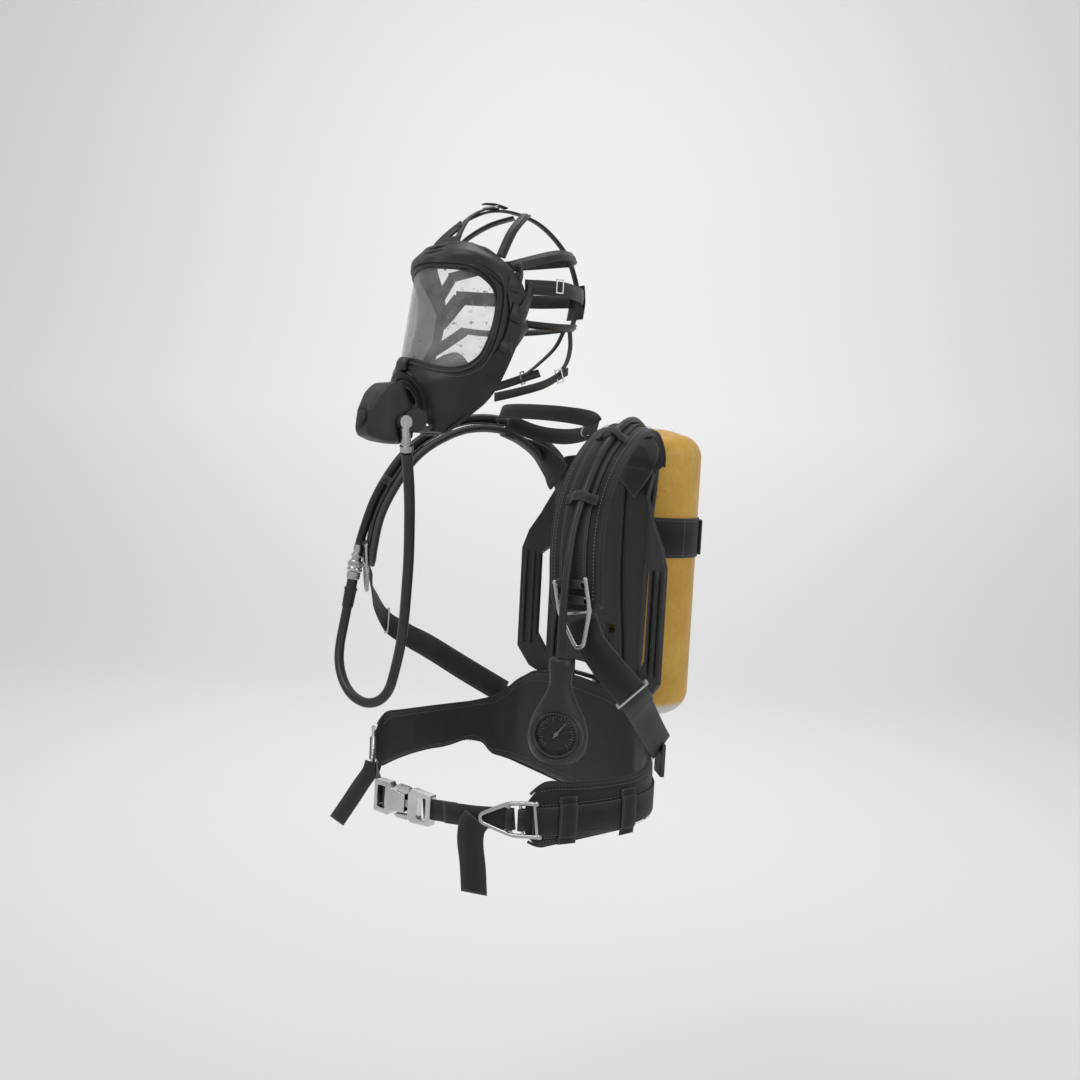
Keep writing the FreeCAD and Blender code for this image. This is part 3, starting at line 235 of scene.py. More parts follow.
def moulded(name, colour, worn, rough, grain=900, depth=0.00006, patch=9.0):
    """Moulded plastic or rubber: fine grain, cloudy colour and paler rubbed edges."""
    material, tree, shader = principled(name, colour, rough)
    cloud = ramp(tree, noise(tree, patch, 6), [(0.3, 0.0), (0.7, 1.0)])
    body = mix(tree, cloud, colour, tuple(min(1, c * 1.45) for c in colour))
    patches = ramp(tree, noise(tree, 70, 5), [(0.4, 0.15), (0.62, 1.0)])
    scuff = mix(tree, 1.0, edge_wear(tree), patches, "MULTIPLY")
    tree.links.new(mix(tree, scuff, body, worn), shader.inputs["Base Color"])
    rough_map = ramp(tree, noise(tree, 34, 6), [(0.3, rough - 0.09), (0.7, rough + 0.1)])
    tree.links.new(rough_map, shader.inputs["Roughness"])
    bump(tree, shader, noise(tree, grain, 3), 0.5, depth)
    return material


def painted_cylinder():
    """Weathered orange-yellow paint: mottled, with rubbed patches, fine scratches and dark specks."""
    material, tree, shader = principled("cylinder_paint", (0.62, 0.35, 0.04), 0.42)
    cloud = ramp(tree, noise(tree, 11, 8, 0.6), [(0.32, 0.0), (0.68, 1.0)])
    paint = mix(tree, cloud, (0.60, 0.315, 0.028), (0.74, 0.45, 0.075))
    fine = ramp(tree, noise(tree, 85, 6, 0.7), [(0.35, 0.0), (0.75, 1.0)])
    paint = mix(tree, mix(tree, 1.0, fine, 0.35, "MULTIPLY"), paint, (0.46, 0.25, 0.035))
    bleach = ramp(tree, noise(tree, 26, 9, 0.75, (1, 1, 0.4)), [(0.56, 0.0), (0.72, 1.0)])
    paint = mix(tree, mix(tree, 1.0, bleach, (0.5, 0.5, 0.5), "MULTIPLY"), paint, (0.86, 0.68, 0.30))
    speck = ramp(tree, noise(tree, 240, 3, 0.5), [(0.66, 0.0), (0.70, 1.0)])
    patchy = ramp(tree, noise(tree, 15, 3), [(0.5, 0.0), (0.62, 1.0)])
    paint = mix(tree, mix(tree, 1.0, speck, patchy, "MULTIPLY"), paint, (0.16, 0.09, 0.03))
    bare = fade(tree, "Z", -0.203, -0.212)
    tree.links.new(bare, shader.inputs["Metallic"])
    paint = mix(tree, bare, paint, (0.62, 0.62, 0.61))
    tree.links.new(paint, shader.inputs["Base Color"])
    tree.links.new(ramp(tree, noise(tree, 40, 7), [(0.3, 0.30), (0.7, 0.52)]), shader.inputs["Roughness"])
    bump(tree, shader, noise(tree, 420, 4), 0.25, 0.0001)
    return material


def metal(name, colour, rough, brushed=(1, 1, 1), grain=260):
    material, tree, shader = principled(name, colour, rough, 1.0)
    streak = noise(tree, grain, 5, 0.6, brushed)
    dull = ramp(tree, noise(tree, 30, 6), [(0.35, 0.0), (0.7, 1.0)])
    tree.links.new(mix(tree, dull, colour, tuple(c * 0.72 for c in colour)), shader.inputs["Base Color"])
    tree.links.new(ramp(tree, streak, [(0.3, max(rough - 0.08, 0.03)), (0.7, rough + 0.12)]),
                   shader.inputs["Roughness"])
    bump(tree, shader, streak, 0.2, 0.00005)
    return material


def cloth(name, colour, pale, thread=1500, depth=0.00022):
    """Woven cover cloth: two crossed sets of threads in object space, with lint and rubbed high spots."""
    material, tree, shader = principled(name, colour, 0.86, 0.0, 0.3)
    shader.inputs["Sheen Weight"].default_value = 0.25
    shader.inputs["Sheen Roughness"].default_value = 0.5
    coords = node(tree, "ShaderNodeTexCoord")
    height = None
    for direction in ("X", "Y", "Z"):
        wave = node(tree, "ShaderNodeTexWave", Scale=thread / 6.283, Distortion=0.6,
                    bands_direction=direction)
        tree.links.new(coords.outputs["Object"], wave.inputs["Vector"])
        height = wave.outputs["Fac"] if height is None else mix(tree, 0.5, height, wave.outputs["Fac"])
    cloud = ramp(tree, noise(tree, 14, 7), [(0.3, 0.0), (0.72, 1.0)])
    body = mix(tree, cloud, colour, tuple(c * 1.5 for c in colour))
    body = mix(tree, mix(tree, 1.0, height, 0.5, "MULTIPLY"), body, tuple(c * 0.55 for c in colour))
    tree.links.new(mix(tree, edge_wear(tree, 0.51, 0.6), body, pale), shader.inputs["Base Color"])
    bump(tree, shader, height, 0.45, depth)
    bump(tree, shader, noise(tree, 60, 4), 0.35, 0.0008)
    return material


def webbing():
    """Narrow woven tape in UV metres: crosswise ribs, a herringbone step and paler fuzzy edges."""
    material, tree, shader = principled("webbing", (0.022, 0.023, 0.026), 0.82, 0.0, 0.35)
    shader.inputs["Sheen Weight"].default_value = 0.12
    coords = node(tree, "ShaderNodeTexCoord")
    rib = node(tree, "ShaderNodeTexWave", Scale=110, Distortion=1.2, bands_direction="Y")
    rib.inputs["Detail Scale"].default_value = 60
    warp = node(tree, "ShaderNodeTexWave", Scale=190, Distortion=0.4, bands_direction="X")
    for wave in (rib, warp):
        tree.links.new(coords.outputs["UV"], wave.inputs["Vector"])
    height = mix(tree, 0.4, rib.outputs["Fac"], warp.outputs["Fac"])
    cloud = ramp(tree, noise(tree, 22, 6), [(0.3, 0.0), (0.7, 1.0)])
    body = mix(tree, cloud, (0.009, 0.0095, 0.0105), (0.018, 0.0185, 0.020))
    body = mix(tree, mix(tree, 1.0, height, 0.6, "MULTIPLY"), body, (0.024, 0.0245, 0.027))
    rubbed = mix(tree, edge_wear(tree, 0.52, 0.58), body, (0.075, 0.078, 0.08))
    tree.links.new(rubbed, shader.inputs["Base Color"])
    bump(tree, shader, height, 0.6, 0.00035)
    return material


def visor_plastic():
    """Clear plastic with a grey haze and dark soot specks, and a painted reflection: a paler grey strip
    towards its negative X side.
    """
    material, tree, shader = principled("visor_clear", (0.5, 0.51, 0.51), 0.12)
    shader.inputs["IOR"].default_value = 1.45
    haze = ramp(tree, noise(tree, 16, 8, 0.65), [(0.42, 0.0), (0.72, 1.0)])
    speck = ramp(tree, noise(tree, 95, 6, 0.7), [(0.60, 0.0), (0.68, 1.0)])
    where = ramp(tree, noise(tree, 12, 4), [(0.48, 0.0), (0.6, 1.0)])
    soot = mix(tree, 1.0, speck, where, "MULTIPLY")
    tree.links.new(mix(tree, soot, (0.55, 0.56, 0.56), (0.06, 0.06, 0.06)), shader.inputs["Base Color"])
    # Painted reflection: more opacity, and so a paler grey, towards negative X, standing in for the glancing
    # reflection at the visor's far edge.
    painted_reflection_strip = fade(tree, "X", 0.01, -0.07, 0.0, 0.42)
    # The real grey haze plus the painted reflection strip.
    haze_and_painted_reflection = mix(tree, 1.0, mix(tree, haze, (0.10, 0.10, 0.10), (0.30, 0.30, 0.30)), painted_reflection_strip, "ADD")
    alpha = mix(tree, 1.0, haze_and_painted_reflection, soot, "ADD")
    tree.links.new(alpha, shader.inputs["Alpha"])
    tree.links.new(ramp(tree, noise(tree, 30, 6), [(0.3, 0.05), (0.7, 0.25)]), shader.inputs["Roughness"])
    return material


def clear_glass():
    material, tree, shader = principled("gauge_glass", (0.05, 0.05, 0.05), 0.1)
    haze = ramp(tree, noise(tree, 60, 5), [(0.4, 0.05), (0.75, 0.22)])
    tree.links.new(haze, shader.inputs["Alpha"])
    tree.links.new(ramp(tree, noise(tree, 140, 5), [(0.3, 0.08), (0.7, 0.3)]), shader.inputs["Roughness"])
    return material


MATERIALS = {
    "plate_plastic": moulded("plate_plastic", (0.022, 0.022, 0.023), (0.075, 0.078, 0.08), 0.46),
    "cylinder_paint": painted_cylinder(),
    "rubber_black": moulded("rubber_black", (0.015, 0.015, 0.016), (0.05, 0.052, 0.055), 0.42, 1300,
                            0.00004, 15),
    "hose_rubber": moulded("hose_rubber", (0.016, 0.016, 0.017), (0.045, 0.045, 0.05), 0.4, 700, 0.00004, 30),
    "valve_metal": metal("valve_metal", (0.62, 0.62, 0.62), 0.28),
    "satin_steel": metal("satin_steel", (0.66, 0.67, 0.67), 0.26, (1, 1, 6)),
    "polished_steel": metal("polished_steel", (0.80, 0.81, 0.81), 0.14),
    "pad_cloth": cloth("pad_cloth", (0.020, 0.020, 0.021), (0.055, 0.056, 0.058)),
    "webbing": webbing(),
    "visor_clear": visor_plastic(),
    "gauge_glass": clear_glass(),
    "dial_face": moulded("dial_face", (0.012, 0.012, 0.012), (0.03, 0.03, 0.03), 0.55),
    "needle_paint": moulded("needle_paint", (0.16, 0.16, 0.15), (0.25, 0.25, 0.24), 0.55),
}
THREAD = moulded("stitch_thread", (0.13, 0.135, 0.14), (0.2, 0.2, 0.2), 0.7, 2000, 0.00005)
SLOT_OF = {part["node"]: part["material_slot"] for part in frame["record"]["subparts"]}


# ---------------------------------------------------------------- geometry helpers

def new_piece(name, mesh, slot, body, stands_for=()):
    piece = bpy.data.objects.new(name, mesh)
    scene.collection.objects.link(piece)
    mesh.materials.clear()
    mesh.materials.append(MATERIALS[slot] if slot in MATERIALS else THREAD)
    if body:
        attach(piece, body)
    if stands_for:
        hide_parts(*stands_for)
    return piece


def mesh_of(name, form):
    """The bmesh as a mesh of its own."""
    mesh = bpy.data.meshes.new(name)
    form.to_mesh(mesh)
    form.free()
    return mesh


def soften(piece, width, segments=3, angle=30):
    """Round the edges of a piece and shade it smoothly."""
    weld = piece.modifiers.new("weld", "WELD")
    weld.merge_threshold = WELD_GAP
    edge = piece.modifiers.new("bevel", "BEVEL")
    edge.width = width * MM
    edge.segments = segments
    edge.limit_method = "ANGLE"
    edge.angle_limit = math.radians(angle)
    edge.harden_normals = False
    normal = piece.modifiers.new("normals", "WEIGHTED_NORMAL")
    normal.keep_sharp = True
    piece.data.shade_smooth()


def catmull(points, steps):
    """Smooth line through the points: (steps) samples to a span, and each sample's place along them."""
    samples = []
    last = len(points) - 1
    for index in range(last):
        before, start = points[max(index - 1, 0)], points[index]
        end, after = points[index + 1], points[min(index + 2, last)]
        for step in range(steps):
            t = step / steps
            place = 0.5 * (2 * start + (end - before) * t + (2 * before - 5 * start + 4 * end - after) * t * t
                           + (3 * start - before - 3 * end + after) * t ** 3)
            samples.append((index + t, place))
    samples.append((last, points[last]))
    return samples


def frames_along(points, across, steps):
    """Centre, width direction and normal at samples of a smooth line."""
    samples = catmull(points, steps)
    places = [p for _, p in samples]
    out = []
    for number, (place_along, place) in enumerate(samples):
        way = (places[min(number + 1, len(places) - 1)] - places[max(number - 1, 0)]).normalized()
        index = min(int(place_along), len(across) - 2)
        side = across[index].lerp(across[index + 1], place_along - index)
        side = (side - way * side.dot(way)).normalized()
        out.append((place, side, side.cross(way), way))
    return out


def sweep(name, stations, section, slot, body, stands_for=(), caps=True, uv=True):
    """Mesh through cross-sections: section(number, count) gives (side, out) offsets at each station."""
    form = bmesh.new()
    layer = form.loops.layers.uv.new("UVMap")
    rings, lengths, travelled = [], [], 0.0
    for number, (place, side, normal, _) in enumerate(stations):
        if number:
            travelled += (place - stations[number - 1][0]).length
        lengths.append(travelled)
        rings.append([form.verts.new(place + side * a + normal * b)
                      for a, b in section(number, len(stations))])
    count = len(rings[0])
    around = [0.0]
    first = section(0, len(stations))
    for k in range(count):
        a, b = first[k], first[(k + 1) % count]
        around.append(around[-1] + math.hypot(b[0] - a[0], b[1] - a[1]))
    for number in range(len(rings) - 1):
        for k in range(count):
            j = (k + 1) % count
            face = form.faces.new((rings[number][k], rings[number][j], rings[number + 1][j],
                                   rings[number + 1][k]))
            face.smooth = True
            near, far = lengths[number], lengths[number + 1]
            corners = ((around[k], near), (around[k + 1], near), (around[k + 1], far), (around[k], far))
            for loop, corner in zip(face.loops, corners):
                loop[layer].uv = corner
    if caps:
        form.faces.new(list(reversed(rings[0])))
        form.faces.new(rings[-1])
    bmesh.ops.recalc_face_normals(form, faces=form.faces)
    return new_piece(name, mesh_of(name, form), slot, body, stands_for)


def tape_section(width, thick, edge=0.45):
    """Flat tape with rounded, slightly thinner edges, as (across, out) points."""
    w, t = width / 2, thick / 2
    return [(-w, -t * edge), (-w * 0.93, -t), (0, -t * 1.02), (w * 0.93, -t), (w, -t * edge), (w, t * edge),
            (w * 0.93, t), (0, t * 1.02), (-w * 0.93, t), (-w, t * edge)]


def strap(name, points, across, width, thick, body, stands_for=(), lift=0.0, steps=8, slot="webbing"):
    """Woven strap in millimetres through the points."""
    centre = line(points)
    sides = [Vector(a).normalized() for a in across]
    stations = frames_along(centre, sides, steps)
    stations = [(p + n * lift * MM, s, n, w) for p, s, n, w in stations]
    shape = tape_section(width * MM, thick * MM)
    return sweep(name, stations, lambda number, count: shape, slot, body, stands_for)


def stitches(name, centre, body, pitch=4.2, long=3.0, radius=0.42):
    """A row of separate stitches along a line of points in metres."""
    samples = [p for _, p in catmull(centre, 8)]
    form = bmesh.new()
    travelled, target = 0.0, pitch / 2 * MM
    for a, b in zip(samples, samples[1:]):
        span = (b - a).length
        while travelled + span >= target and span > 0:
            at = a.lerp(b, (target - travelled) / span)
            turn = (b - a).to_track_quat("X", "Z").to_matrix().to_4x4()
            size = Matrix.Diagonal((radius * MM, radius * MM, long / 2 * MM, 1))
            place = Matrix.Translation(at) @ turn @ Matrix.Rotation(math.pi / 2, 4, "Y") @ size
            bmesh.ops.create_uvsphere(form, u_segments=6, v_segments=4, radius=1, matrix=place)
            target += pitch * MM
        travelled += span
    mesh = mesh_of(name, form)
    mesh.shade_smooth()
    return new_piece(name, mesh, "thread", body)


def lathe(name, profile, origin, axis, slot, body, stands_for=(), segments=64):
    """Turned piece from (radius, height) points in millimetres about an axis from an origin."""
    form = bmesh.new()
    turn = Vector(axis).to_track_quat("Z", "Y").to_matrix().to_4x4()
    at = Matrix.Translation(mm(*origin)) @ turn
    rings = []
    for radius, height in profile:
        if radius < 1e-6:
            rings.append([form.verts.new(at @ Vector((0, 0, height * MM)))])
        else:
            rings.append([form.verts.new(at @ Vector((radius * MM * math.cos(t), radius * MM * math.sin(t),
                                                      height * MM)))
                          for t in (2 * math.pi * k / segments for k in range(segments))])
    for low, high in zip(rings, rings[1:]):
        for k in range(segments):
            j = (k + 1) % segments
            if len(low) == 1 and len(high) > 1:
                form.faces.new((low[0], high[k], high[j]))
            elif len(high) == 1 and len(low) > 1:
                form.faces.new((low[k], low[j], high[0]))
            elif len(low) > 1:
                form.faces.new((low[k], low[j], high[j], high[k]))
    bmesh.ops.recalc_face_normals(form, faces=form.faces)
    mesh = mesh_of(name, form)
    piece = new_piece(name, mesh, slot, body, stands_for)
    mesh.shade_smooth()
    mesh.set_sharp_from_angle(angle=math.radians(32))
    return piece


def round_line(name, points, radius, steps, round_steps, closed=False):
    """Round NURBS curve in millimetres, with the points as its control points."""
    data = bpy.data.curves.new(name, "CURVE")
    data.dimensions = "3D"
    spline = data.splines.new("NURBS")
    spline.points.add(len(points) - 1)
    for point, place in zip(spline.points, points):
        point.co = (*mm(*place), 1)
    spline.use_cyclic_u = closed
    spline.order_u = 3
    spline.use_endpoint_u = not closed
    data.resolution_u = steps
    data.bevel_depth = radius * MM
    data.bevel_resolution = round_steps
    data.use_fill_caps = True
    return data


def tube(name, points, radius, slot, body, stands_for=(), closed=False):
    """Round wire in millimetres along the points, as a mesh."""
    source = bpy.data.objects.new(name + "_line", round_line(name, points, radius, 8, 6, closed))
    scene.collection.objects.link(source)
    mesh = bpy.data.meshes.new_from_object(source.evaluated_get(bpy.context.evaluated_depsgraph_get()))
    bpy.data.objects.remove(source)
    mesh.shade_smooth()
    mesh.name = name
    return new_piece(name, mesh, slot, body, stands_for)


# ---------------------------------------------------------------- hoses

COUPLING_TOP = Vector((-240, -232, -3))
COUPLING_DOWN = Vector((0, -17, -99)).normalized()
GAUGE_NECK = (236, -239, -78)
DEMAND_ROUTE = [
    (-240, -241.95, -60.95), (-240, -249, -102), (-237, -255, -125), (-231, -262, -147),
    (-220, -268, -169), (-203, -270, -190), (-182, -267.5, -207), (-153, -261, -214),
    (-126, -254.5, -206), (-107, -250.5, -188), (-95, -250, -158), (-78, -253, -122),
    (-60, -260, -82), (-44, -268, -42), (-30, -275, -4), (-18, -283, 36), (-4, -293, 76),
    (10, -305, 110), (20, -314, 133)]


def hose_curve(name, route, radius, body, stands_for, slot="hose_rubber"):
    data = round_line(name, route, radius, 12, 8)
    data.materials.append(MATERIALS[slot])
    piece = bpy.data.objects.new(name, data)
    scene.collection.objects.link(piece)
    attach(piece, body)
    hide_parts(stands_for)
    return piece


def make_hoses():
    demand = hose_curve("demand_hose_line", DEMAND_ROUTE, 6.75, "airline", "demand_hose")
    start = on_shoulder(1, 3, 6, 15.2)
    route = [tuple(start), (222, -217.5, 66), (231.5, -231.5, 24), (237.5, -240, -20), GAUGE_NECK]
    gauge = hose_curve("gauge_hose_line", route, 4.5, "harness", "gauge_hose_free")
    over = [tuple(on_shoulder(-1, index, 0, 17.2)) for index in range(7, 1, -1)]
    held = [(-34.5, 26, -262), (-62, 27, -258), (-80, 27, -226), (-84, 28, -170), (-85, 29, -110),
            (-84, 30.5, -50), (-86, 31, 10), (-88, 32, 66), (-95, 31, 112), (-107, 15, 150)]
    hose_curve("pressure_hose_line", held + over + [tuple(COUPLING_TOP)], 6.5, "harness", "pressure_hose")
    over = [tuple(on_shoulder(1, index, 6, 15.2)) for index in range(7, 2, -1)]
    held = [(34.5, 26, -262), (60, 27, -258), (76, 27, -226), (80, 28, -170), (82, 29, -110), (81, 30.5, -50),
            (83, 31, 10), (84, 32, 66), (92, 29, 112), (106, 16, 150)]
    hose_curve("gauge_hose_held_line", held + over, 4.5, "harness", "gauge_hose_held")


# ---------------------------------------------------------------- shoulder harness

SHOULDER_LINE = [
    ((231, -217, -31), 22), ((228, -216, -2), 22), ((220, -211, 42), 22), ((208, -195, 86), 23),
    ((198, -170, 126), 25), ((184, -137, 154), 28), ((164, -99, 172), 31), ((138, -58, 172), 34),
    ((116, -24, 150), 34), ((105, -12, 128), 30)]


def shoulder_lines(sign):
    points = [Vector((sign * x, y, z)) for (x, y, z), _ in SHOULDER_LINE]
    across = [Vector((math.cos(math.radians(angle)), sign * math.sin(math.radians(angle)), 0))
              for _, angle in SHOULDER_LINE]
    return points, across


def on_shoulder(sign, index, side, out):
    """A point of the pad's line moved along its width and out of its outer face, in millimetres."""
    points, across = shoulder_lines(sign)
    way = (points[min(index + 1, len(points) - 1)] - points[max(index - 1, 0)]).normalized()
    width = (across[index] - way * way.dot(across[index])).normalized()
    return points[index] + width * side + width.cross(way) * out


def cross_section(width, thick, count=16, power=3.0, seams=(), dip=0.0):
    """Closed crowned section in metres: bulging faces, thin edges, with optional sewn valleys."""
    points = []
    for face in (1, -1):
        for k in range(count + 1):
            u = -1 + 2 * k / count
            if face < 0:
                u = -u
            if face < 0 and k in (0, count):
                continue
            high = (1 - abs(u) ** power) ** 0.5 * 0.86 + 0.14
            valley = sum(math.exp(-((u * width / 2 - s) / 2.2) ** 2) for s in seams)
            points.append((u * width / 2 * MM, face * (thick / 2 * high - dip * valley) * MM))
    return points


def rounded_ends(shape, number, count, reach=6, least=0.35):
    """The section narrowed near both ends of a sweep."""
    near = min(number, count - 1 - number)
    if near >= reach:
        return shape
    size = least + (1 - least) * math.sin(math.pi / 2 * near / reach)
    return [(a * (0.5 + 0.5 * size), b * size) for a, b in shape]


def inflate(piece, held, cap, pressure=4.0):
    """Swell a closed cloth form with air pressure; the held points are its seams."""
    mesh = piece.data
    start = [v.co.copy() for v in mesh.vertices]
    group = piece.vertex_groups.new(name="seams")
    group.add(held, 1.0, "REPLACE")
    cloth = piece.modifiers.new("cloth", "CLOTH")
    settings = cloth.settings
    settings.quality = 6
    settings.use_pressure = True
    settings.uniform_pressure_force = pressure
    settings.effector_weights.gravity = 0
    settings.vertex_group_mass = "seams"
    settings.tension_stiffness = 22
    settings.compression_stiffness = 22
    settings.bending_stiffness = 1.2
    cloth.collision_settings.use_collision = False
    cloth.point_cache.frame_start = 1
    cloth.point_cache.frame_end = 20
    for step in range(1, 21):
        scene.frame_set(step)
    settled = piece.evaluated_get(bpy.context.evaluated_depsgraph_get()).data.vertices
    moves = [after.co - before for after, before in zip(settled, start)]
    piece.modifiers.remove(cloth)
    for vertex, before, move in zip(mesh.vertices, start, moves):
        if move.length > cap * MM:
            move = move * (cap * MM / move.length)
        vertex.co = before + move
    scene.frame_set(1)


def subdivide(piece, levels=1):
    piece.modifiers.new("subdivision", "SUBSURF").levels = levels
    piece.modifiers["subdivision"].render_levels = levels


def pad_form(name, stations, section, body, stands_for, seam_points, cap):
    """Padded piece: a crowned sweep, swollen between its seams."""
    piece = sweep(name, stations, section, "pad_cloth", body, stands_for)
    ring = len(section(0, len(stations)))
    held = [n * ring + k for n in range(len(stations)) for k in seam_points]
    held += [k for k in range(ring)] + [(len(stations) - 1) * ring + k for k in range(ring)]
    inflate(piece, sorted(set(held)), cap)
    subdivide(piece)
    return piece


def offset_line(stations, side, out):
    """Points at a distance across and out from the stations of a sweep, in millimetres."""
    return [(place + across * side * MM + normal * out * MM) / MM for place, across, normal, _ in stations]


# ---------------------------------------------------------------- shoulder pads and their webbing

def make_shoulders():
    for side, sign in SIDES:
        points, across = shoulder_lines(sign)
        stations = frames_along(line(points), across, 10)
        shape = cross_section(64, 11, 18, 3.0, (-24, 24), 0.8)
        held = [3, 15, 21, 31]
        body = "harness"
        pad_form(f"shoulder_pad_{side}_padded", stations,
                 lambda number, count: rounded_ends(shape, number, count), body,
                 (f"shoulder_pad_{side}",), held, 1.3)
        for edge in (-1, 1):
            rim = offset_line(stations[2:-2], edge * 31.6, 0)
            tube(f"shoulder_piping_{side}_{'inner' if edge < 0 else 'outer'}", rim[::3], 1.6, "webbing", body)
            row = offset_line(stations[5:-5], edge * 24, 5.4)
            stitches(f"shoulder_stitch_{side}_{'inner' if edge < 0 else 'outer'}",
                     line(row[::6]), body)
        strap(f"shoulder_strap_{side}", points[1:8], across[1:8], 32, 1.8, body,
              ("shoulder_webbing",) if side == "left" else (), 7.8)
        for edge in (-1, 1):
            row = offset_line(stations[12:68], edge * 13.2, 8.9)
            stitches(f"strap_stitch_{side}_{'inner' if edge < 0 else 'outer'}",
                     line(row[::6]), body, pitch=3.4, long=2.4, radius=0.3)
        root = [(138, -60, 167), (125, -36, 158), (105, -18, 143), (85, -8.5, 124), (70, -6.5, 108)]
        turns = [math.radians(angle) for angle in (34, 16, 4, 0, 0)]
        strap(f"pad_root_{side}", [(sign * x, y, z) for x, y, z in root],
              [(math.cos(turn), sign * math.sin(turn), 0) for turn in turns], 52, 5, body, slot="pad_cloth")
        for index in (3, 5):
            centre = on_shoulder(sign, index, 0, 0)
            low, high = points[index - 1], points[index + 1]
            way = (high - low).normalized()
            width = (across[index] - way * way.dot(across[index])).normalized()
            out = width.cross(way)
            arch = [(-19, 9.4), (-12, 12.5), (-7, 19), (0, 21.4), (7, 19), (12, 12.5), (19, 9.4)]
            reach = [tuple(centre + width * (a + 3 * (sign > 0)) + out * b) for a, b in arch]
            strap(f"hose_keeper_{side}_{index}", reach, [tuple(way)] * 7, 12, 1.5, body,
                  ("hose_keepers",) if (side, index) == ("left", 3) else ())


LOWER_LINE = [(238, -213, -38), (247, -206, -64), (259, -191, -89), (272, -162, -123), (257, -134, -143),
              (236, -107, -160), (206, -61, -192), (172, -10, -226)]
LOWER_ACROSS = [(0.93, 0.37, 0), (0.9, 0.4, 0.1), (0.7, 0.5, 0.45), (0.55, 0.45, 0.7), (0.5, 0.4, 0.8),
                (0.4, 0.3, 0.9), (0.3, 0.3, 0.9), (0.3, 0.3, 0.9)]


def make_lower_webbing():
    for side, sign in SIDES:
        route = [(sign * x, y, z) for x, y, z in LOWER_LINE]
        across = [(sign * x, y, z) for x, y, z in LOWER_ACROSS]
        strap(f"lower_strap_{side}", route, across, 37, 1.8, "harness",
              ("lower_webbing",) if side == "left" else ())
        stations = frames_along(line(route), [Vector(a).normalized() for a in across], 8)
        for edge in (-15.5, 15.5):
            row = offset_line(stations[34:], edge, 1.2 * sign)
            stitches(f"lower_stitch_{side}_{'a' if edge < 0 else 'b'}",
                     line(row[::4]), "harness", radius=0.35)


def make_carry_loop():
    upper = [(-118, -80, 188), (-100, -86, 198), (0, -88, 196), (78, -86, 189), (92, -82, 181)]
    lower = [(90, -77, 179), (56, -64, 171), (0, -54, 166), (-60, -58, 170), (-112, -70, 185)]
    strap("carry_strap_upper", upper, [(0, 0.35, 0.94)] * 5, 22, 1.8, "harness", ("carry_loop",))
    strap("carry_strap_lower", lower, [(0, 0.3, 0.95)] * 5, 22, 1.8, "harness")
    wire = [(66, -79, 164), (66, -61, 170), (74, -63, 178), (78, -72, 187), (76, -84, 183), (70, -88, 172)]
    tube("carry_buckle", wire, 1.1, "satin_steel", "harness", closed=True)


# ---------------------------------------------------------------- waist pad, belt and tails

PAD_TOP = [(0, -168), (60, -171), (103, -180), (135, -198), (165, -228), (192, -240), (220, -247)]
PAD_BOTTOM = [(0, -328), (120, -326), (180, -317), (220, -300)]
END_TOP = [(-236, -262), (-214, -240), (20, -150)]
END_BOTTOM = [(-236, -300), (-210, -322), (-112, -318), (-85, -306), (-60, -298), (-38, -302), (-24, -340),
              (20, -340)]
BELT_Z = -283


def between(table, at):
    for (x0, z0), (x1, z1) in zip(table, table[1:]):
        if at <= x1:
            return z0 + (z1 - z0) * max(0.0, (at - x0) / (x1 - x0))
    return table[-1][1]


def waist_curve(offset, y_end=-231, x_from=0, step=6):
    """Left half of the waist pad's plan, moved in by an offset: points and outward directions."""
    out = [((x, -1 - offset), (0, 1)) for x in range(int(x_from), 110, step)]
    for k in range(0, 90, 4):
        turn = math.radians(90 - k)
        out.append(((110 + (100 - offset) * math.cos(turn), -101 + (100 - offset) * math.sin(turn)),
                    (math.cos(turn), math.sin(turn))))
    last = math.degrees(math.asin((-101 - y_end) / (330 - offset)))
    count = 22
    for k in range(count + 1):
        turn = -math.radians(last * k / count)
        out.append(((-120 + (330 - offset) * math.cos(turn), -101 + (330 - offset) * math.sin(turn)),
                    (math.cos(turn), math.sin(turn))))
    return out


def make_waist_pad():
    half = waist_curve(7)
    plan = [((-x, y), (-a, b)) for (x, y), (a, b) in reversed(half[1:])] + half
    stations, spans = [], []
    for (x, y), (a, b) in plan:
        high = min(between(PAD_TOP, abs(x)), between(END_TOP, y))
        low = max(between(PAD_BOTTOM, abs(x)), between(END_BOTTOM, y))
        spans.append((high - low) / 2)
        stations.append((mm(x, y, (high + low) / 2), Vector((0, 0, 1)), Vector((a, b, 0)), Vector((0, 0, 1))))
    base = cross_section(100, 12.2, 22, 4.0, (-40, 40), 0.9)

    def section(number, count):
        grown = [(a * spans[number] * 2 / 100, b) for a, b in base]
        return rounded_ends(grown, number, count, 4, 0.4)

    pad_form("waist_pad_padded", stations, section, "harness", ("waist_pad",), [2, 20, 24, 42], 1.3)
    edges = {"top": 1, "bottom": -1}
    for edge, sign in edges.items():
        rim = [(place / MM) + Vector((0, 0, sign * (span - 0.8)))
               for (place, *_), span in zip(stations[1:-1], spans[1:-1])]
        tube(f"waist_piping_{edge}", rim[::2], 1.7, "webbing", "harness")
        for side in (-1, 1):
            row = [(place / MM) + Vector((0, 0, sign * span * 0.8)) + normal * side * 5.4
                   for (place, _, normal, _), span in zip(stations[2:-2], spans[2:-2])]
            stitches(f"waist_stitch_{edge}_{'in' if side < 0 else 'out'}",
                     line(row[::3]), "harness", radius=0.35)


def belt_route(offset, z, x_from=100, y_end=-226):
    return [(x, y, z) for (x, y), _ in waist_curve(offset, y_end, x_from, 6)]


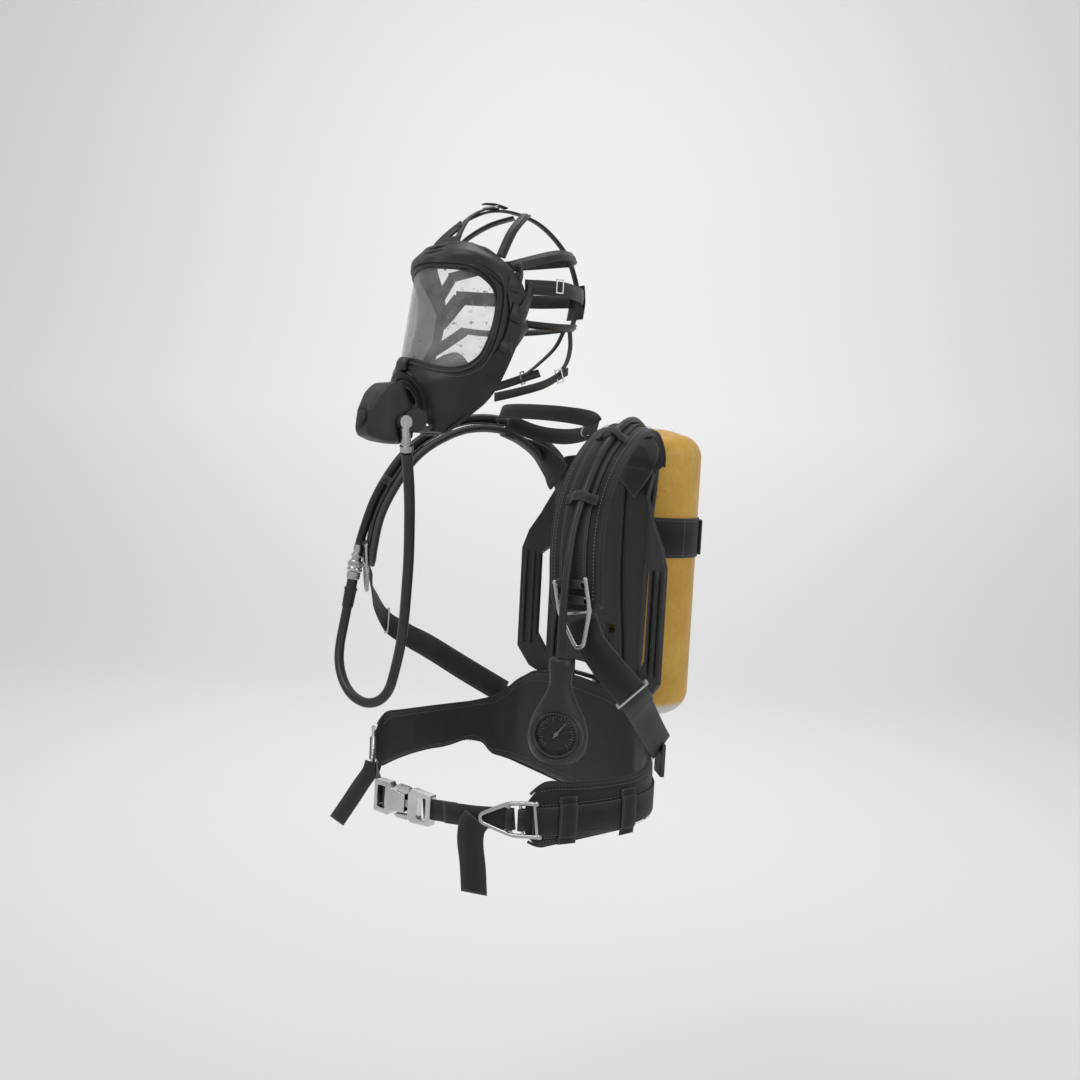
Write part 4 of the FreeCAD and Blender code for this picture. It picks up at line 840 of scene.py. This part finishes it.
def make_belt():
    first = True
    for side, sign in SIDES:
        route = [(sign * x, y, z) for x, y, z in belt_route(-1.3, BELT_Z)]
        strap(f"belt_{side}", route[::3] + [route[-1]], [(0, 0, 1)] * (len(route[::3]) + 1), 34, 1.6,
              "harness", ("waist_webbing",) if first else ())
        for edge in (-19.5, 19.5):
            row = [(sign * x, y, BELT_Z + edge) for x, y, _ in belt_route(-0.2, 0)]
            stitches(f"belt_stitch_{side}_{'low' if edge < 0 else 'high'}", line(row[::3]), "harness")
        for end, y in (("front", -187), ("rear", -101)):
            curve = waist_curve(0, -231, 100, 6)
            (x, y_at), (a, b) = min(curve, key=lambda item: abs(item[0][1] - y))
            bulge = [(-28, 0.7), (-21, 1.6), (-17, 3.6), (0, 4.0), (17, 3.6), (21, 1.6), (28, 0.7)]
            route = [(sign * (x + a * out), y_at + b * out, BELT_Z + up) for up, out in bulge]
            along = (-sign * b, a, 0)
            strap(f"belt_loop_{end}_{side}", route, [along] * 7, 23, 1.5, "harness",
                  ("waist_loops",) if first else ())
            for edge in (-9.5, 9.5):
                row = [(p[0] + along[0] * edge + sign * a * 0.9, p[1] + along[1] * edge + b * 0.9, p[2])
                       for p in route]
                stitches(f"loop_stitch_{end}_{side}_{'a' if edge < 0 else 'b'}", line(row), "harness",
                         pitch=3.2, long=2.2, radius=0.3)
            first = False
    run = [tuple(on_buckle(-34.5)), (-70, -283, -296), (-104, -267, -292)]
    right = strap("belt_right_front", run, [(0, 0, 1)] * 3, 26, 1.6, None)
    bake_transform(right)
    window, end = on_buckle(31), Vector((90, -264.7, -294.5))
    run = [tuple(window), tuple((window + end) / 2), tuple(end)]
    strap("belt_left_front", run, [(0, 0, 1)] * 3, 26, 1.6, "buckle_male", ("front_webbing",))


BUCKLE_CENTRE = Vector((4, -287, -302))
BUCKLE_ALONG = Vector((0.953, 0.302, -0.02)).normalized()


def on_buckle(along, up=0.0, out=0.0):
    rise = Vector((0, 0, 1))
    rise = (rise - BUCKLE_ALONG * BUCKLE_ALONG.dot(rise)).normalized()
    return BUCKLE_CENTRE + BUCKLE_ALONG * along + rise * up + BUCKLE_ALONG.cross(rise) * out


def bar_wrap(name, centre, bar, way, width, body, size=(4.2, 3.6)):
    """Webbing turned once round a buckle's bar."""
    out = Vector(bar).normalized().cross(Vector(way).normalized())
    ring = []
    for k in range(13):
        turn = 2 * math.pi * k / 12
        ring.append(tuple(Vector(centre) + Vector(way).normalized() * size[0] * math.cos(turn)
                          + out * size[1] * math.sin(turn)))
    strap(name, ring, [tuple(bar)] * 13, width, 1.5, body)


BELT_TIP, BELT_END = Vector((127, -260.5, -289.3)), Vector((195, -222.1, -278.7))
SHOULDER_TIP, SHOULDER_END = Vector((241.5, -216.5, -72)), Vector((231.5, -227.5, 3))
TRIANGLE_LONG = 76
TAILS = {
    "left": ([(72, -272.4, -297.0), (101, -265.6, -292.5)],
             [(126, -262.5, -291), (120, -264.5, -302), (117, -263.5, -322), (115, -257, -352),
              (112, -251, -388)],
             (0.85, 0.5, 0.1)),
    "right": ([(-101, -272, -293)],
              [(-124, -260.5, -289), (-123.5, -265, -300), (-124, -277, -315), (-125, -293, -337),
               (-126, -312, -362)],
              (0.95, 0.2, 0.1))}


def make_tails():
    for side, sign in SIDES:
        start, tail, across = TAILS[side]
        body = f"belt_triangle_{side}"
        through = start + [(sign * 125.5, -257.8, -289), (sign * 164.7, -235.7, -283.4)]
        through = strap(f"belt_through_{side}", through, [(0, 0, 1)] * len(through), 26, 1.6,
                        None if side == "left" else body, (f"belt_tail_{side}",))
        if side == "left":
            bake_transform(through)
        strap(f"belt_end_{side}", tail, [across] * 5, 34, 1.6, body)
        stations = frames_along(line(tail), [Vector(across).normalized()] * 5, 8)
        for place_along, label in ((22, "upper"), (31, "lower")):
            place, wide, normal, _ = stations[min(place_along, len(stations) - 1)]
            row = [place + wide * x * MM + normal * 1.2 * MM for x in (-14, -7, 0, 7, 14)]
            stitches(f"tail_stitch_{label}_{side}", row, body, pitch=3.0, long=2.1, radius=0.4)
        flip = Vector((sign, 1, 1))
        tip, end = BELT_TIP * flip, BELT_END * flip
        way = (end - tip).normalized()
        for part, label in ((0.535, "first"), (0.73, "second")):
            bar_wrap(f"belt_wrap_{label}_{side}", tip + way * TRIANGLE_LONG * part, (0, 0, 1), way, 25, body)
        tip, end = SHOULDER_TIP * flip, SHOULDER_END * flip
        way = (end - tip).normalized()
        for part, label in ((0.73, "first"), (0.965, "second")):
            bar_wrap(f"shoulder_wrap_{label}_{side}", tip + way * TRIANGLE_LONG * part,
                     (sign * 0.927, 0.375, 0), way, 30, "harness")


def wire_triangle(label, tip, end, across, body):
    """Bent steel wire: a rounded point, and three bars across between its arms."""
    way = (end - tip).normalized()
    wide = (across - way * way.dot(across)).normalized()
    arm = [(19, TRIANGLE_LONG), (19, 70), (19, 46), (18, 39), (6.6, 8), (4.4, 3.6)]
    plan = [(-a, b) for a, b in arm] + [(0, 2.2)] + arm[::-1]
    tube(f"{label}_wire", [tip + wide * a + way * b for a, b in plan], 2.6, "satin_steel", body, (label,))
    for part in (0.535, 0.73, 0.965):
        rung = [tip + wide * a + way * TRIANGLE_LONG * part for a in (-19, -9, 0, 9, 19)]
        tube(f"{label}_bar_{round(part * 100)}", rung, 1.9, "satin_steel", body)
    for a in (-19, 19):
        knob = tip + wide * a + way * TRIANGLE_LONG
        lathe(f"{label}_knob_{'a' if a < 0 else 'b'}",
              [(0, -3.2), (2, -2.6), (3, -1), (3, 1), (2, 2.6), (0, 3.2)],
              knob, way, "satin_steel", body, segments=20)


def make_triangles():
    for side, sign in SIDES:
        flip = Vector((sign, 1, 1))
        wire_triangle(f"belt_triangle_{side}", BELT_TIP * flip, BELT_END * flip, Vector((0, 0, 1)),
                      f"belt_triangle_{side}")
        wire_triangle(f"shoulder_triangle_{side}", SHOULDER_TIP * flip, SHOULDER_END * flip,
                      Vector((sign * 0.927, 0.375, 0)), "harness")


# ---------------------------------------------------------------- cylinder band and plate

BAND_RADIUS = 71.6
CYLINDER_Y = 111


def make_band():
    ring = []
    for k in range(0, 361, 12):
        turn = math.radians(k)
        ring.append((BAND_RADIUS * math.cos(turn), CYLINDER_Y + BAND_RADIUS * math.sin(turn), 33))
    strap("cylinder_band_woven", ring, [(0, 0, 1)] * len(ring), 56, 2.2, "harness", ("cylinder_band",))
    for edge in (-24, 24):
        row = [(x + (x / BAND_RADIUS) * 1.4, y + ((y - CYLINDER_Y) / BAND_RADIUS) * 1.4, 33 + edge)
               for x, y, _ in ring]
        stitches(f"band_stitch_{'low' if edge < 0 else 'high'}", line(row), "harness")


def make_plate_details():
    """Raised ribs down the handles and the plate."""
    for side, sign in SIDES:
        for x, label in ((126, "inner"), (141, "outer")):
            rib = [(sign * x, 2.6, -4), (sign * x, 2.2, -40), (sign * x, 2.2, -80), (sign * x, 2.2, -118),
                   (sign * x, 2.6, -142)]
            rib = [(px, py - 3.2 + (0.8 if label == "inner" else -2.4), pz) for px, py, pz in rib]
            tube(f"handle_rib_{label}_{side}", rib, 2.6, "plate_plastic", "harness")
        edge = [(sign * 62, 0.8, 118), (sign * 62, 0.8, 60), (sign * 62, 0.8, 0), (sign * 66, 1.4, -60),
                (sign * 74, 2.6, -120), (sign * 74, 2.6, -160)]
        tube(f"plate_rib_{side}", edge, 2.4, "plate_plastic", "harness")


# ---------------------------------------------------------------- mask

MASK_TILT = math.radians(-8.26)
MASK_ORIGIN = (0, -203.5, 300)
VISOR_RADIUS = 90
HEAD_CENTRE = Vector((0, -160, 345))
FACE_LEVELS = [(-150, 34, -64, -46), (-124, 52, -76, -30), (-98, 72, -94, -15), (-60, 88, -95, -10),
               (0, 91, -93.5, 3), (40, 88, -93.5, -7), (64, 72, -85, -36), (78, 50, -77, -54)]


def in_mask(x, y, z):
    c, s = math.cos(MASK_TILT), math.sin(MASK_TILT)
    return (x, y * c - z * s + MASK_ORIGIN[1], y * s + z * c + MASK_ORIGIN[2])


VISOR_RIM = [(0, -71), (14, -72), (46, -79), (62, -79), (73, -75), (80, -66), (84, -54), (87, -22), (87, 12),
             (84, 28), (76, 38), (64, 45), (0, 47)]


def head_point(up, turn):
    """A point of the head's form; the bands run a little straighter than an ellipsoid towards the nape."""
    up, turn = math.radians(up), math.radians(turn)
    flat = math.cos(up) * (1 - 0.07 * math.sin(2 * turn) ** 2 * (math.cos(turn) > 0))
    return Vector((78 * flat * math.sin(turn), HEAD_CENTRE.y + 113 * flat * math.cos(turn),
                   HEAD_CENTRE.z + 99 * math.sin(up)))


def rubber_band(name, stations, width, stands_for=()):
    """Rubber band over the head's form, with a raised rib down its middle."""
    points = [head_point(*station) for station in stations]
    across = []
    for index, point in enumerate(points):
        before, after = points[max(index - 1, 0)], points[min(index + 1, len(points) - 1)]
        across.append((after - before).cross((point - HEAD_CENTRE).normalized()).normalized())
    w, t = width / 2 * MM, 1.1 * MM
    shape = [(-w, -t * 0.4), (-w * 0.9, -t), (w * 0.9, -t), (w, -t * 0.4), (w, t * 0.4), (w * 0.9, t),
             (w * 0.36, t), (w * 0.26, t * 1.7), (-w * 0.26, t * 1.7), (-w * 0.36, t), (-w * 0.9, t),
             (-w, t * 0.4)]
    stations = frames_along(line(points), across, 8)
    return sweep(name, stations, lambda number, count: shape, "rubber_black", "mask", stands_for)


def rubber_strap(name, points, across, width, thick, stands_for=()):
    """Plain rubber strip on the mask."""
    strap(name, points, across, width, thick, "mask", stands_for, slot="rubber_black")


def make_head_harness():
    crown = [(50, 180), (70, 180), (90, 0), (66, 0), (40, 0), (18, 0), (0, 0), (-20, 0)]
    rubber_band("band_crown", crown, 9, ("head_harness",))
    rubber_band("band_nape_plate", [(13, 0), (0, 0), (-13, 0)], 34)
    for side, sign in SIDES:
        for label, stations, width in (
                ("upper", [(32, 2), (30, 40), (24, 80), (10, 116)], 14),
                ("brow", [(78, 60), (60, 102), (38, 117), (16, 124)], 12),
                ("temple", [(2, 8), (1, 40), (0, 76), (-3, 106)], 18),
                ("cheek", [(-20, 2), (-24, 40), (-28, 78), (-29, 106)], 10)):
            rubber_band(f"band_{label}_{side}", [(up, sign * turn) for up, turn in stations], width)
        neck = [(sign * 70, -225, 205), (sign * 62, -180, 216), (sign * 50, -136, 228),
                (sign * 38, -104, 241), (sign * 30, -82, 250)]
        rise = [(sign * 38, -103, 244), (sign * 30, -84, 262), (sign * 16, -68, 285), (sign * 5, -62, 310)]
        rubber_strap(f"neck_band_{side}", neck, [(0.2 * sign, 0, 1)] * 5, 11, 2.2,
                     ("neck_strap",) if side == "left" else ())
        rubber_strap(f"neck_rise_{side}", rise, [(1, 0, 0)] * 4, 7, 2)


def rim_distance(u, z):
    """Signed distance from the visor's outline on the unrolled visor, and the nearest outline points."""
    half = [(VISOR_RADIUS * math.asin((x + 0.6) / VISOR_RADIUS), zr + (1 if zr > 0 else -1))
            for x, zr in VISOR_RIM]
    loop = np.array(half + [(-a, b) for a, b in reversed(half[1:-1])])
    place = np.stack([u, z], axis=1)
    best = np.full(len(place), 1e9)
    nearest = place.copy()
    inside = np.zeros(len(place), bool)
    for start, end in zip(loop, np.roll(loop, -1, axis=0)):
        along = end - start
        t = np.clip(((place - start) @ along) / (along @ along), 0, 1)
        foot = start + t[:, None] * along
        gap = np.linalg.norm(place - foot, axis=1)
        closer = gap < best
        best[closer], nearest[closer] = gap[closer], foot[closer]
        crosses = (start[1] > z) != (end[1] > z)
        rise = along[1] if abs(along[1]) > 1e-9 else 1e-9
        inside ^= crosses & (u < start[0] + (z - start[1]) / rise * along[0])
    return np.where(inside, -best, best), nearest


def voxel_form(piece, voxel):
    """Weld a piece and remesh it evenly, at a voxel size in millimetres."""
    piece.modifiers.new("weld", "WELD").merge_threshold = WELD_GAP
    remesh = piece.modifiers.new("remesh", "REMESH")
    remesh.mode = "VOXEL"
    remesh.voxel_size = voxel * MM
    return remesh


def make_facepiece():
    """The rubber facepiece, its wall drawn back to the visor's rim and rounded."""
    mesh = nodes["facepiece"].data.copy()
    mesh.name = "facepiece_rubber"
    piece = new_piece("facepiece_rubber", mesh, "rubber_black", "mask", ("facepiece",))
    voxel_form(piece, 1.5)
    fine = bpy.data.meshes.new_from_object(piece.evaluated_get(bpy.context.evaluated_depsgraph_get()))
    piece.modifiers.clear()
    piece.data = fine
    fine.materials.clear()
    fine.materials.append(MATERIALS["rubber_black"])
    flat = np.empty(len(fine.vertices) * 3)
    fine.vertices.foreach_get("co", flat)
    place = flat.reshape(-1, 3) / MM - np.array(MASK_ORIGIN)
    normals = np.empty(len(fine.vertices) * 3)
    fine.vertices.foreach_get("normal", normals)
    c, s = math.cos(-MASK_TILT), math.sin(-MASK_TILT)
    back = np.array([[1, 0, 0], [0, c, -s], [0, s, c]])
    local, facing = place @ back.T, normals.reshape(-1, 3) @ back.T
    radius = np.hypot(local[:, 0], local[:, 1])
    angle = np.arctan2(local[:, 0], -local[:, 1])
    outward = (facing[:, 0] * np.sin(angle) - facing[:, 1] * np.cos(angle)) > -0.2
    away, nearest = rim_distance(VISOR_RADIUS * angle, local[:, 2])
    target = np.where(outward, 96.0, 93.9)
    weight = np.clip(1 - away / 26, 0, 1)
    weight = weight * weight * (3 - 2 * weight)
    front = (local[:, 1] < 8) & (radius > 70)
    pulled = np.where(radius > target, radius - (radius - target) * weight, radius)
    cut = front & (away < 0)
    radius = np.where(front, np.where(cut, target, pulled), radius)
    angle = np.where(cut, nearest[:, 0] / VISOR_RADIUS, angle)
    height = np.where(cut, nearest[:, 1], local[:, 2])
    moved = np.stack([radius * np.sin(angle), -radius * np.cos(angle), height], axis=1)
    moved = np.where(front[:, None], moved, local)
    fine.vertices.foreach_set("co", ((moved @ back + np.array(MASK_ORIGIN)) * MM).ravel())
    fine.update()
    fine.shade_smooth()
    smooth = piece.modifiers.new("smooth", "SMOOTH")
    smooth.factor = 0.5
    smooth.iterations = 4


def make_face_details():
    """Rolled sealing edge, ridges over the visor, rims round it, and the lugs that the bands button on to."""
    side = [in_mask(half - 1.6, rear, z) for z, half, _, rear in FACE_LEVELS]
    other = [(-x, y, z) for x, y, z in reversed(side)]
    tube("face_seal_edge", side + other, 3.0, "rubber_black", "mask", closed=True)
    for z, reach, radius in ((58, 60, 1.9), (66, 52, 1.7), (73, 44, 1.5)):
        front = between([(40, -93.5), (64, -85), (78, -77)], z)
        half = between([(40, 88), (64, 72), (78, 50)], z)
        ridge = []
        for k in range(-6, 7):
            x = reach * k / 6
            ridge.append(in_mask(x, front * (1 - 0.34 * abs(x / half) ** 2.6), z - 5 * abs(x / half) ** 3))
        tube(f"face_ridge_{z}", ridge, radius, "rubber_black", "mask")
    for label, radius, more, thick in (("outer", 96.2, 9.0, 1.7), ("middle", 96.0, 3.0, 1.9),
                                       ("inner", 93.4, -3.0, 1.3)):
        rim = []
        for x, z in VISOR_RIM + [(-x, z) for x, z in reversed(VISOR_RIM[1:-1])]:
            x *= 1 + 0.5 * more / VISOR_RADIUS
            z += more if z > 0 else -more
            rim.append(in_mask(x, -math.sqrt(radius ** 2 - x ** 2), z))
        tube(f"visor_rim_{label}", rim, thick, "rubber_black", "mask", closed=True)
    for side_name, sign in SIDES:
        leg = [(sign * 24, -260, 384), (sign * 20, -256, 393), (sign * 12, -246, 406), (sign * 3, -234, 419)]
        rubber_strap(f"bridge_leg_{side_name}", leg, [(1, 0, sign * 0.4)] * 4, 13, 3)
        for (up, turn), z, label, wide in (((10, 112), 36, "upper", 16), ((-3, 102), 4, "temple", 20),
                                           ((-29, 102), -38, "cheek", 13)):
            half = between([(level[0], level[1]) for level in FACE_LEVELS], z)
            rear = between([(level[0], level[3]) for level in FACE_LEVELS], z)
            band = head_point(up, sign * turn)
            route = [in_mask(sign * (half + 0.6), rear - 22, z), in_mask(sign * (half + 1.4), rear - 6, z),
                     tuple(band + Vector((sign * 2.0, 0, 0)))]
            rubber_strap(f"band_lug_{label}_{side_name}", route, [(0, 0.1, 1)] * 3, wide, 2.6)
    base = [(0, -265, 374), (0, -261, 385), (0, -254, 397)]
    rubber_strap("bridge_base", base, [(1, 0, 0)] * 3, 52, 3.4)
    bridge = [(0, -240, 413), (0, -222, 430), (0, -203, 441), (0, -186, 444)]
    rubber_strap("bridge_strap", bridge, [(1, 0, 0)] * 4, 11, 2.4)
    tail = [(0, -206, 447), (0, -190, 449), (0, -172, 447.5)]
    rubber_strap("bridge_tail", tail, [(1, 0, 0)] * 3, 9, 1.8)


# ---------------------------------------------------------------- gauge, coupling and valve details

GAUGE_TURN = math.radians(38)
GAUGE_CENTRE = Vector((236, -237, -164))


def on_gauge(x, out, z):
    """A point in the gauge's own frame: across its face, out of it and up, in millimetres."""
    c, s = math.cos(GAUGE_TURN), math.sin(GAUGE_TURN)
    return GAUGE_CENTRE + Vector((x * c + out * s, x * s - out * c, z))


def make_gauge():
    form = bmesh.new()
    for k in range(28):
        turn = math.radians(225 - k * 10)
        size = 4.4 if k % 3 == 0 else 2.4
        inner, outer = 19.6 - size, 19.6
        corners = []
        for radius, spread in ((inner, -0.38), (inner, 0.38), (outer, 0.38), (outer, -0.38)):
            x = radius * math.cos(turn) - spread * math.sin(turn)
            z = radius * math.sin(turn) + spread * math.cos(turn)
            corners.append(form.verts.new(on_gauge(x, 7.4, z) * MM))
        form.faces.new(corners)
    marks = new_piece("dial_marks", mesh_of("dial_marks", form), "needle_paint", "gauge_head")
    marks.modifiers.new("depth", "SOLIDIFY").thickness = 0.15 * MM
    front = tuple(on_gauge(0, 1, 0) - on_gauge(0, 0, 0))
    lathe("gauge_bezel", [(22.4, 9), (25.6, 9), (26.2, 10.5), (26.2, 13.2), (25, 14.4), (23.2, 14.4),
                          (22.4, 13.4), (22.4, 9)], tuple(GAUGE_CENTRE), front, "rubber_black", "gauge_head")
    lathe("gauge_boot_lip", [(26.4, 8), (29.4, 7), (30.6, 9), (30, 12), (27.6, 13.6), (26.4, 13), (26.4, 8)],
          tuple(GAUGE_CENTRE), front, "rubber_black", "gauge_head")


CAP_Y, CAP_Z = -309, 172


def make_rings():
    """Moulded ribs on the demand valve's side cap and the knurl round the coupling's sleeve."""
    for k in range(4):
        lathe(f"side_cap_rib_{k}", [(12.9, -0.45), (13.7, -0.2), (13.7, 0.2), (12.9, 0.45)],
              (26.2 + 1.4 * k, CAP_Y, CAP_Z), (1, 0, 0), "plate_plastic", "airline")
    form = bmesh.new()
    frame_turn = COUPLING_DOWN.to_track_quat("Z", "Y").to_matrix().to_4x4()
    for k in range(30):
        turn = 2 * math.pi * k / 30
        place = Matrix.Translation((COUPLING_TOP + COUPLING_DOWN * 27.5) * MM) @ frame_turn
        ridge = place @ Matrix.Rotation(turn, 4, "Z") @ Matrix.Translation(mm(10.5, 0, 0))
        bmesh.ops.create_uvsphere(form, u_segments=6, v_segments=6, radius=MM,
                                  matrix=ridge @ Matrix.Diagonal((0.5, 0.7, 3.0, 1)))
    mesh = mesh_of("sleeve_knurl", form)
    mesh.shade_smooth()
    new_piece("sleeve_knurl", mesh, "satin_steel", "coupling_sleeve")


PORT_BASE = (0, -291, 207)
PORT_AXIS = Vector((0, -0.86, -0.51)).normalized()
BUTTON_BASE = (0, -364.5, 171.5)
BUTTON_AXIS = Vector((0, -0.979, 0.202)).normalized()


def make_valve_details():
    """Lip and ring round the mask's port, the clasp under the visor, the button and the cap's ribs."""
    lathe("port_lip", [(25, 9.4), (29, 9.6), (32.5, 11.4), (33, 12.8), (30.5, 13.6), (25, 13.2)], PORT_BASE,
          tuple(PORT_AXIS), "rubber_black", "mask")
    lathe("port_ring", [(27, 2), (31, 2.6), (31.6, 5.5), (30.6, 8.2), (27, 8.8)], PORT_BASE, tuple(PORT_AXIS),
          "rubber_black", "mask")
    clasp = [in_mask(0, -98, -69), in_mask(0, -101, -76), in_mask(0, -100, -84)]
    strap("visor_clasp", clasp, [(1, 0, 0)] * 3, 17, 6, "mask", slot="plate_plastic")
    lathe("by_pass_button", [(0, 1.4), (8.2, 1.4), (9.4, 2.0), (9.2, 2.8), (7.6, 3.5), (4, 4.0), (0, 4.2)],
          BUTTON_BASE, tuple(BUTTON_AXIS), "rubber_black", "demand_button", ("demand_button",))
    for k in range(18):
        turn = 2 * math.pi * k / 18
        y, z = CAP_Y + 13.2 * math.cos(turn), CAP_Z + 13.2 * math.sin(turn)
        tube(f"cap_rib_{k}", [(26, y, z), (28, y, z), (31, y, z)], 1.3, "plate_plastic", "airline")


# ---------------------------------------------------------------- CAD nodes: rounding and materials

ROUNDING = {
    "backplate": 1.6, "band_lever": 1.2, "cylinder_saddles": 1.0, "valve_handwheel": 1.6,
    "reducer_handwheel": 1.4, "pressure_reducer": 1.0, "cylinder_valve_body": 1.2,
    "reducer_bracket": 1.0, "relief_valve": 0.5,
    "burst_disc_plug": 0.5, "webbing_anchors": 1.2, "strap_slides": 0.8, "buckle_female": 1.5,
    "buckle_male": 1.8, "buckle_tab_upper": 1.4, "buckle_tab_lower": 1.4,
    "coupling_socket": 0.4, "coupling_sleeve": 0.4, "coupling_plug": 0.5, "coupling_boot": 0.5,
    "visor": 0.6, "visor_frame": 1.2, "nose_cup": 1.0, "mask_port": 1.0,
    "demand_elbow": 0.9, "side_cap": 0.8, "harness_buckles": 0.4,
    "gauge_case": 0.6, "gauge_dial": 0.2, "gauge_lens": 0.3, "band_lever_pin": 0.4,
    "gauge_needle": 0.15}


def mould(piece, voxel, rounds):
    """Round every edge of a thick moulded piece by a few millimetres."""
    voxel_form(piece, voxel).use_smooth_shade = True
    smooth = piece.modifiers.new("smooth", "SMOOTH")
    smooth.factor = 0.5
    smooth.iterations = rounds


def finish_nodes():
    mould(nodes["demand_valve"], 1.4, 80)
    mould(nodes["gauge_boot"], 1.4, 6)
    for label, piece in nodes.items():
        piece.data.materials.clear()
        piece.data.materials.append(MATERIALS[SLOT_OF[label]])
        piece.data.shade_smooth()
        piece.data.set_sharp_from_angle(angle=math.radians(35))
        if label in ROUNDING:
            soften(piece, ROUNDING[label], 3)


make_camera()
make_stage()
make_light()
make_hoses()
make_shoulders()
make_lower_webbing()
make_carry_loop()
make_waist_pad()
make_belt()
make_tails()
make_triangles()
make_band()
make_plate_details()
make_head_harness()
make_facepiece()
make_face_details()
make_gauge()
make_rings()
make_valve_details()
finish_nodes()
